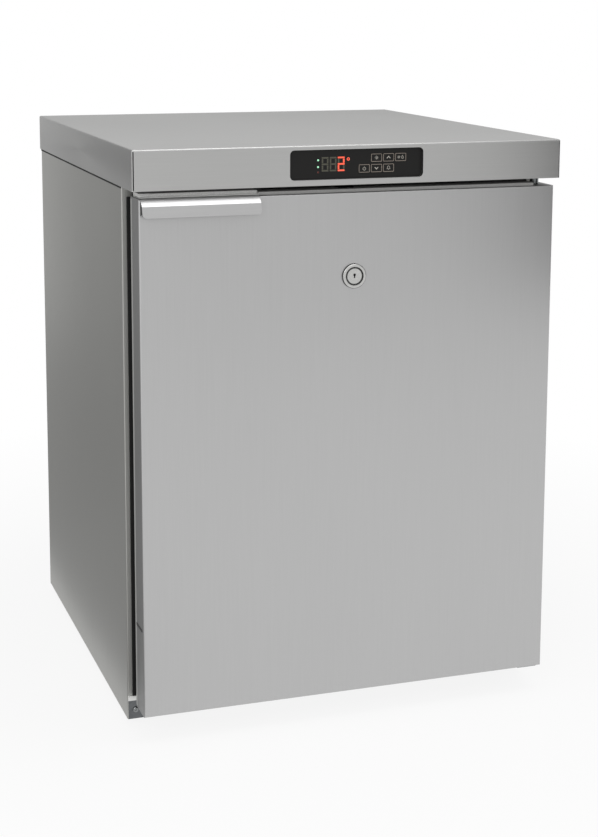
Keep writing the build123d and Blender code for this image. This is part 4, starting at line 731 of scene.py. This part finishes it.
class FREEZER_OT_door_caps(bpy.types.Operator):
    """Builds the caps and the pale strips of painted highlight on the door, the black pieces of
    painted shade round it and in the handle's end, and the plates of painted light
    """
    bl_idname = "freezer.door_caps"
    bl_label = "Door caps and foam"

    def execute(self, context):
        low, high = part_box("door_outer")
        lip_low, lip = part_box("handle_lip")
        side_low, side_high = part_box("left_side_panel")
        self.caps(low, high, lip)
        self.foam(side_low, side_high)
        self.handle_end_shade(low.y, lip_low.x, lip.z)
        self.foot_plates(side_low.y, side_low.x)
        return {"FINISHED"}

    def caps(self, low, high, lip):
        """The white cap over the handle's flange, the grey one from there to the hinge, and pale
        strips of painted highlight on the door's sides.
        """
        bolt_low, bolt_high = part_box("lock_bolt")
        gap, back = 0.8 * MM, high.y - 2 * MM
        start, step, end = low.x + 3 * MM, lip.x + gap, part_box("hinge_pins")[0].x - 6 * MM
        base, crown, tall = high.z + HAIR, lip.z + 0.6 * MM, high.z + 6 * MM
        bm = bmesh.new()
        strip(bm, (start, step), (low.y + 2.2 * MM, lip.y), (lip.z + HAIR, crown))
        strip(bm, (start, step), (low.y + 11 * MM, lip.y), (crown + HAIR, tall))
        strip(bm, (start, step), (lip.y + 0.2 * MM, back), (base, tall))
        finish_piece("Door_end_cap", bm, moulded_plastic(
            "ABS_extruded_white", "#EFEFED", 0.5, 1.2, 0.02), "door", 20.0)
        front, notch = low.y + 6 * MM, bolt_low.y - gap
        left, right = bolt_low.x - gap, bolt_high.x + gap
        bm = bmesh.new()
        slab(bm, [(step, front), (end, front), (end, back), (right, back), (right, notch),
                  (left, notch), (left, back), (step, back)], base, tall - 2 * MM)
        # Pale strips along the back edges of the door's sides: painted highlight
        for face, out in ((low.x, -1), (high.x, 1)):
            strip(bm, (face, face + out * 0.3 * MM), (high.y - 6.2 * MM, high.y - 0.6 * MM),
                  (low.z + 3 * MM, high.z - 3 * MM))
        finish_piece("Door_grey_cap_and_edge_highlights", bm, moulded_plastic(
            "ABS_pale_grey_and_painted_highlight", "#B0B0AE", 0.5, 1.2, 0.02), "door", 20.0)

    def foam(self, side_low, side_high):
        """Black strips of painted shadow: round the gasket on the front returns, and under the
        worktop's skirt.
        """
        low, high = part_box("door_gasket")
        land, tray, proud = side_low.y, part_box("worktop")[0].z, 3.2 * MM
        # The black strips here are painted shadow on the land round the gasket and under the
        # skirt's edge.
        foam = moulded_plastic("Painted_shadow_black", "#101010", 0.9, 1.2, 0.1)
        bm = bmesh.new()
        strip(bm, (low.x + 3 * MM, high.x + 3 * MM), (land - proud, land),
              (high.z + 1.5 * MM, tray - 0.4 * MM))
        for edge, out in ((low.x, -1), (high.x, 1)):
            strip(bm, (edge + out * 0.3 * MM, edge + out * 4.8 * MM), (land - proud, land),
                  (low.z, high.z))
        finish_piece("Gasket_painted_shadow", bm, foam, "cabinet", 20.0)
        bm = bmesh.new()
        for face, out in ((side_low.x, -1), (-side_low.x, 1)):
            strip(bm, (face, face + out * 0.7 * MM), (land + 1 * MM, side_high.y - 1 * MM),
                  (tray - 2.8 * MM, tray - 0.2 * MM))
        finish_piece("Skirt_painted_shadow", bm, foam, "cabinet", 20.0)

    def handle_end_shade(self, face, start, top):
        """A black piece in the handle's open left end, cut to the sheet's bend: painted shade for
        the dark hollow.
        """
        # Millimetres from the door's face and down from the handle's top
        outline = [(-0.15, -2.3), (-7.95, -10.3), (-11.15, -19.5), (-0.15, -22.0)]
        bm = bmesh.new()
        skin(bm, [[(start + x * MM, face + y * MM, top + z * MM) for y, z in outline]
                  for x in (0.1, 1.1)])
        # Painted shade: the black piece darkens the hollow behind the lip
        finish_piece("Handle_end_painted_shade", bm, moulded_plastic(
            "Painted_shade_black_handle", "#181818", 0.6, 0.8, 0.02), "door", 20.0)

    def foot_plates(self, land, left):
        """The plates that close the lower ends of the side sheets' front returns; their bright
        tone is painted light.
        """
        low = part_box("base_rail")[0].z + 0.4 * MM
        bm = bmesh.new()
        for edge, inward in ((left, 1), (-left, -1)):
            strip(bm, (edge + inward * 0.4 * MM, edge + inward * 11.8 * MM),
                  (land - 0.8 * MM, land - HAIR), (low, low + 7.2 * MM))
        # Their bright tone is painted light
        finish_piece("Foot_plates_painted_light", bm, plated_metal(
            "Zinc_plated_plate_painted_light", "#DCDCDA", 0.32, 6), "cabinet", 20.0)


class FREEZER_OT_gasket(bpy.types.Operator):
    """Builds the gasket: base, two bellows folds, magnet pocket and wiping lip"""
    bl_idname = "freezer.gasket"
    bl_label = "Door gasket"

    def execute(self, context):
        seal = context.scene.freezer_seal
        low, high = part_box("door_gasket")
        width, depth, fold, edge = 18 * MM, high.y - low.y, seal.fold_depth, 0.4 * MM
        # Half the profile, from the door to the cabinet: inset and share of the depth
        half = [(3 * MM, 0.0), (edge, 0.02), (0.0, 0.07), (edge, 0.16), (fold, 0.24),
                (edge, 0.36), (edge, 0.42), (fold, 0.52), (edge * 3, 0.62), (edge, 0.70),
                (edge, 0.88), (edge * 3, 0.985), (4 * MM, 1.0)]
        profile = half[1:] + [(width - u, v) for u, v in reversed(half)] + half[:1]
        loop = smooth_loop([(u, low.y + depth * v) for u, v in profile], seal.steps)
        bm = bmesh.new()
        sweep_round(bm, [(min(max(u, 0.0), width), min(max(y, low.y), high.y))
                         for u, y in loop], low, high)
        piece = finish_piece("Gasket_bellows", bm, soft_vinyl(
            "Soft_vinyl_extruded", seal.colour), "door", 50.0)
        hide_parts("door_gasket")
        return {"FINISHED"}


class FREEZER_OT_interior(bpy.types.Operator):
    """Dresses the liner, door lining, strip, foam, pilasters, clips and probe"""
    bl_idname = "freezer.interior"
    bl_label = "Liner and supports"

    def execute(self, context):
        inside, steel = context.scene.freezer_inside, context.scene.freezer_steel
        dress(thermoformed_liner("Polystyrene_thermoformed_white", inside.liner_colour),
              "inner_liner", "door_inner", "evaporator_cover", "drain_pan")
        dress(moulded_plastic("ABS_extruded_grey", inside.strip_colour, 0.45, 1.2, 0.03),
              "breaker_frame", "temperature_probe")
        dress(insulation_foam("Polyurethane_foam", "#D9C58E"), "cabinet_foam", "door_foam")
        dress(brushed_stainless("Stainless_pressed_inside", "#B5B6B6", "z", steel,
                                steel.roughness), "shelf_pilasters", "shelf_clips")
        return {"FINISHED"}


class FREEZER_OT_shelves(bpy.types.Operator):
    """Plates the three wire shelves"""
    bl_idname = "freezer.shelves"
    bl_label = "Wire shelves"

    def execute(self, context):
        dress(plated_metal("Chromed_steel_wire", context.scene.freezer_inside.wire_colour,
                           0.2, 20), "shelf_lower", "shelf_middle", "shelf_upper")
        return {"FINISHED"}


class FREEZER_OT_fans(bpy.types.Operator):
    """Dresses both fans and their motors"""
    bl_idname = "freezer.fans"
    bl_label = "Fans"

    def execute(self, context):
        dress(moulded_plastic("Polypropylene_moulded_black", "#202122", 0.5, 1.0, 0.03),
              "evaporator_fan", "evaporator_fan_motor", "condenser_fan_motor")
        dress(mill_aluminium("Aluminium_pressed_blades"), "condenser_fan")
        return {"FINISHED"}


class FREEZER_OT_coils(bpy.types.Operator):
    """Dresses the evaporator and condenser coils"""
    bl_idname = "freezer.coils"
    bl_label = "Coils"

    def execute(self, context):
        dress(mill_aluminium("Aluminium_mill_finish"), "evaporator_coil", "condenser_coil")
        return {"FINISHED"}


class FREEZER_OT_compressor(bpy.types.Operator):
    """Paints the compressor and dresses its mounts, pipes and tray"""
    bl_idname = "freezer.compressor"
    bl_label = "Compressor and pipes"

    def execute(self, context):
        machine = context.scene.freezer_machine
        dress(stoved_paint("Stoved_black_paint", machine.paint_colour), "compressor")
        dress(moulded_plastic("Rubber_moulded", "#1D1D1D", 0.8, 0.8, 0.05), "compressor_mounts")
        dress(drawn_copper("Copper_drawn", machine.copper_colour),
              "discharge_pipe", "liquid_pipe", "suction_pipe")
        dress(moulded_plastic("Polypropylene_tray_black", "#242526", 0.6, 1.2, 0.03),
              "evaporation_tray")
        return {"FINISHED"}


class FREEZER_OT_inlet(bpy.types.Operator):
    """Dresses the appliance inlet"""
    bl_idname = "freezer.inlet"
    bl_label = "Power inlet"

    def execute(self, context):
        dress(moulded_plastic("Polyamide_moulded_black", "#17181A", 0.42, 0.9, 0.02),
              "power_inlet")
        return {"FINISHED"}


class FREEZER_OT_display(bpy.types.Operator):
    """Dresses the panel's moulding, the digits, the lamps and the board behind"""
    bl_idname = "freezer.display"
    bl_label = "Control panel and display"

    def execute(self, context):
        panel = context.scene.freezer_panel
        dress(moulded_plastic("ABS_moulded_black", panel.moulding_colour, 0.36, 1.2, 0.02, 0.28),
              "control_panel")
        dress(lit_moulding("Epoxy_bar_lit", panel.digit_colour, 0.8), "segments_lit")
        dress(moulded_plastic("Epoxy_bar_dark", panel.dark_digit_colour, 0.3, 1.2, 0.01),
              "segments_unlit")
        dress(lit_moulding("Epoxy_lamp_green", panel.lamp_colour, 0.7), "indicator_lamps")
        dress(circuit_board("Glass_epoxy_board", "#1E5A3C", "#4E8A5E"), "control_board")
        # The unlit lamp's lens stands below the two lit lamps
        low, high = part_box("indicator_lamps")
        radius = (high.x - low.x) / 2
        bm = bmesh.new()
        turned(bm, ((0.0, -0.35 * MM), (radius * 0.45, -0.3 * MM), (radius * 0.8, -0.18 * MM),
                    (radius, 0.0), (0.0, 0.0)),
               (low.x + radius, low.y, low.z + radius - panel.lamp_step), 24)
        finish_piece("Lamp_lens_unlit", bm, moulded_plastic(
            "Epoxy_lens_red", panel.spent_colour, 0.25, 1.2, 0.01), "cabinet")
        return {"FINISHED"}


class FREEZER_OT_keys(bpy.types.Operator):
    """Dresses the six keys and prints their outlines and symbols"""
    bl_idname = "freezer.keys"
    bl_label = "Keys"

    def execute(self, context):
        panel = context.scene.freezer_panel
        moulding = moulded_plastic(
            "ABS_moulded_keys", panel.moulding_colour, 0.42, 0.9, 0.02, 0.28)
        line_ink = screen_ink("Screen_ink_line", panel.line_colour)
        symbol_ink = screen_ink("Screen_ink_symbol", panel.symbol_colour)
        half_width, half_height, corner, inset = (
            7.7 * MM, 5.3 * MM, 0.9 * MM, panel.line_width * 0.6)
        outline = rounded_box(half_width - inset, half_height - inset, corner)
        for number in range(1, 7):
            key = f"key_{number}"
            dress(moulding, key)
            low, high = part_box(key)
            place = (((low.x + high.x) / 2, (low.z + high.z) / 2), low.y - panel.print_height,
                     low.y)
            bm = bmesh.new()
            ribbon(bm, outline, panel.line_width, *place, closed=True)
            finish_piece(f"Key_outline_{number}", bm, line_ink, key)
            bm = bmesh.new()
            for points, closed, weight in self.symbol(number):
                ribbon(bm, [(x * MM, z * MM) for x, z in points], panel.stroke_width * weight,
                       *place, closed=closed)
            finish_piece(f"Key_symbol_{number}", bm, symbol_ink, key)
        return {"FINISHED"}

    def symbol(self, number):
        """Strokes of a key's sign in mm: points, whether they close, and their weight."""
        if number == 1:  # inside light: a lamp with rays
            rays = [(arc(1.7, a, a, 1)[:1] + arc(2.7, a, a, 1)[:1], False, 0.8)
                    for a in range(0, 360, 45)]
            return [(arc(1.0, 0, 330, 11), True, 1.0)] + rays
        if number == 2:  # up
            return [([(-2.4, -1.2), (0.0, 1.4), (2.4, -1.2)], False, 1.9)]
        if number == 3:  # defrosting: a snow star and a drop
            star = [(arc(2.1, a + 180, a, 1, -2.6), False, 0.9) for a in (30, 90, 150)]
            drop = arc(1.4, 150, 390, 12, 2.6, -0.5) + [(2.6, 2.2)]
            return star + [(drop, True, 1.0)]
        if number == 4:  # standby: an open ring with a bar
            return [(arc(2.0, 125, 415, 18, 0.0, -0.3), False, 1.0),
                    ([(0.0, 0.2), (0.0, 2.5)], False, 1.0)]
        if number == 5:  # down
            return [([(-2.4, 1.2), (0.0, -1.4), (2.4, 1.2)], False, 1.9)]
        # alarm off: a bell
        bell = ([(-2.2, -1.4), (-1.6, -0.6), (-1.5, 0.8)] + arc(1.5, 180, 0, 8, 0.0, 0.8)
                + [(1.6, -0.6), (2.2, -1.4)])
        return [(bell, True, 0.9), ([(-0.5, -2.3), (0.5, -2.3)], False, 1.0)]


class FREEZER_OT_stage(bpy.types.Operator):
    """Sets the pale floor, the soft lamps, the even light and the camera"""
    bl_idname = "freezer.stage"
    bl_label = "Stage"

    def execute(self, context):
        stage, scene = context.scene.freezer_stage, context.scene
        scene.view_settings.view_transform = "Standard"
        self.floor(stage)
        self.world(scene, stage)
        self.lamp("Lamp_above", stage.top_lamp, 1.4, (0.25, -0.75, 2.6), (0.0, -0.2, 0.7))
        self.lamp("Lamp_in_front", stage.fill_lamp, 1.6, (-1.7, -2.7, 1.9), (0.0, 0.0, 0.4))
        # Cards that only reflections show, which shape bare metal as flags do: the foot of an
        # upright card from one point to another, with its lowest and highest z
        for name, tone, start, end, low, high in (
                ("left", 0.30, (-0.5, 0.6), (-1.9, 2.3), 0.0, 2.2),
                ("back", 0.42, (-0.9, 2.4), (3.4, 1.9), 0.0, 1.5),
                ("right", 0.08, (0.50, -0.75), (1.1, -0.60), 0.50, 1.2),
                ("front", 0.80, (-0.6, -3.0), (2.8, -3.0), 0.0, 1.4)):
            self.card(f"Grey_card_{name}", tone, (
                (*start, low), (*end, low), (*end, high), (*start, high)))
        self.card("Grey_card_floor", 0.45, (
            (-0.36, -0.6, MM), (-0.36, 2.4, MM), (-2.2, 2.4, MM), (-2.2, -0.6, MM)))
        self.camera(scene, stage)
        return {"FINISHED"}

    def seen_plainly(self, tree):
        """1 for rays from the camera, a gloss or a glass, and 0 for the others."""
        path = add_node(tree, "ShaderNodeLightPath")
        seen = path.outputs["Is Camera Ray"]
        for kind in ("Is Glossy Ray", "Is Transmission Ray"):
            seen = add_node(tree, "ShaderNodeMath", links={0: seen, 1: path.outputs[kind]},
                            operation="MAXIMUM").outputs[0]
        return seen

    def flat_piece(self, name, finish, corners):
        """A flat piece of the stage, and the empty node tree of its finish."""
        material = bpy.data.materials.new(finish)
        material.use_nodes = True
        material.node_tree.nodes.clear()
        bm = bmesh.new()
        bm.faces.new([bm.verts.new(corner) for corner in corners])
        piece = new_object(name, bm, material)
        return piece, material.node_tree

    def floor(self, stage):
        # Matt white paper: it keeps the soft shadow, and reads as white where it is lit.
        # Metres from the middle where the shade under the object starts to fade, and is gone
        near, far, half = 0.5, 1.4, stage.floor_size / 2
        tree = self.flat_piece("Studio_floor", "Matt_paper_floor", (
            (-half, -half, 0.0), (half, -half, 0.0), (half, half, 0.0), (-half, half, 0.0)))[1]
        paper = add_node(tree, "ShaderNodeBsdfDiffuse", {"Color": (0.88, 0.88, 0.88, 1.0)})
        white = add_node(tree, "ShaderNodeEmission", {"Strength": 1.0})
        where = add_node(tree, "ShaderNodeTexCoord")
        away = add_node(
            tree, "ShaderNodeVectorMath", links={0: where.outputs["Object"]}, operation="LENGTH")
        level = add_node(
            tree, "ShaderNodeMapRange",
            {"From Min": near, "From Max": far, "To Min": 1.0 - stage.shadow, "To Max": 1.0},
            {"Value": away.outputs["Value"]})
        share = add_node(
            tree, "ShaderNodeMath",
            links={0: level.outputs["Result"], 1: self.seen_plainly(tree)}, operation="MULTIPLY")
        mix = add_node(tree, "ShaderNodeMixShader", links={
            0: share.outputs[0], 1: paper.outputs[0], 2: white.outputs[0]})
        add_node(tree, "ShaderNodeOutputMaterial", links={"Surface": mix.outputs[0]})

    def world(self, scene, stage):
        world = bpy.data.worlds.new("Even_white_room")
        world.use_nodes = True
        tree = world.node_tree
        tree.nodes.clear()
        level = add_node(
            tree, "ShaderNodeMapRange", {"To Min": stage.ambient, "To Max": 1.0},
            {"Value": self.seen_plainly(tree)})
        sky = add_node(
            tree, "ShaderNodeBackground", {"Color": (1.0, 1.0, 1.0, 1.0)},
            {"Strength": level.outputs["Result"]})
        add_node(tree, "ShaderNodeOutputWorld", links={"Surface": sky.outputs[0]})
        scene.world = world

    def lamp(self, name, power, size, place, target):
        lamp = bpy.data.lights.new(name, "AREA")
        lamp.shape, lamp.size, lamp.energy = "SQUARE", size, power
        holder = bpy.data.objects.new(name, lamp)
        holder.location = place
        holder.rotation_euler = (
            Vector(target) - Vector(place)).to_track_quat("-Z", "Y").to_euler()
        holder.visible_camera = False
        bpy.context.scene.collection.objects.link(holder)

    def card(self, name, tone, corners):
        card, tree = self.flat_piece(name, name, corners)
        grey = add_node(tree, "ShaderNodeEmission", {"Color": (tone, tone, tone, 1.0)})
        add_node(tree, "ShaderNodeOutputMaterial", links={"Surface": grey.outputs[0]})
        card.visible_camera = card.visible_diffuse = card.visible_shadow = False
        card.visible_transmission = card.visible_volume_scatter = False

    def camera(self, scene, stage):
        camera = bpy.data.cameras.new("Photo_camera")
        camera.sensor_width = 36.0
        camera.lens = stage.lens
        camera.shift_y = stage.shift
        camera.dof.use_dof = False
        holder = bpy.data.objects.new("Photo_camera", camera)
        holder.location = stage.camera_place
        aim = Euler((math.pi / 2 - stage.camera_pitch, 0.0, -stage.camera_yaw)).to_matrix()
        holder.rotation_euler = (aim @ Euler((0.0, 0.0, stage.camera_roll)).to_matrix()).to_euler()
        scene.collection.objects.link(holder)
        scene.camera = holder


class FREEZER_PT_panel(bpy.types.Panel):
    """Lists the steps that dress the freezer"""
    bl_idname = "FREEZER_PT_panel"
    bl_label = "Cabinet freezer"
    bl_space_type = "VIEW_3D"
    bl_region_type = "UI"
    bl_category = "Freezer"

    def draw(self, context):
        for operator in OPERATORS:
            self.layout.operator(operator.bl_idname)
        for name, group in SETTINGS.items():
            box = self.layout.box()
            box.label(text=group.__doc__)
            for prop in group.__annotations__:
                box.prop(getattr(context.scene, name), prop)


SETTINGS = {
    "freezer_steel": SteelSettings, "freezer_panel": PanelSettings,
    "freezer_seal": SealSettings, "freezer_inside": InsideSettings,
    "freezer_machine": MachineSettings, "freezer_stage": StageSettings}
OPERATORS = (
    FREEZER_OT_stage, FREEZER_OT_steelwork, FREEZER_OT_casing, FREEZER_OT_hinges,
    FREEZER_OT_screws, FREEZER_OT_lock, FREEZER_OT_door_caps, FREEZER_OT_gasket,
    FREEZER_OT_interior, FREEZER_OT_shelves, FREEZER_OT_fans, FREEZER_OT_coils,
    FREEZER_OT_compressor, FREEZER_OT_inlet, FREEZER_OT_display, FREEZER_OT_keys)


def register():
    for kind in (*SETTINGS.values(), *OPERATORS, FREEZER_PT_panel):
        bpy.utils.register_class(kind)
    for name, group in SETTINGS.items():
        setattr(bpy.types.Scene, name, PointerProperty(type=group))


def unregister():
    for name in SETTINGS:
        delattr(bpy.types.Scene, name)
    for kind in reversed((*SETTINGS.values(), *OPERATORS, FREEZER_PT_panel)):
        bpy.utils.unregister_class(kind)


def main():
    register()
    for operator in OPERATORS:
        getattr(bpy.ops.freezer, operator.bl_idname.split(".")[1])()


if __name__ == "__main__":
    main()
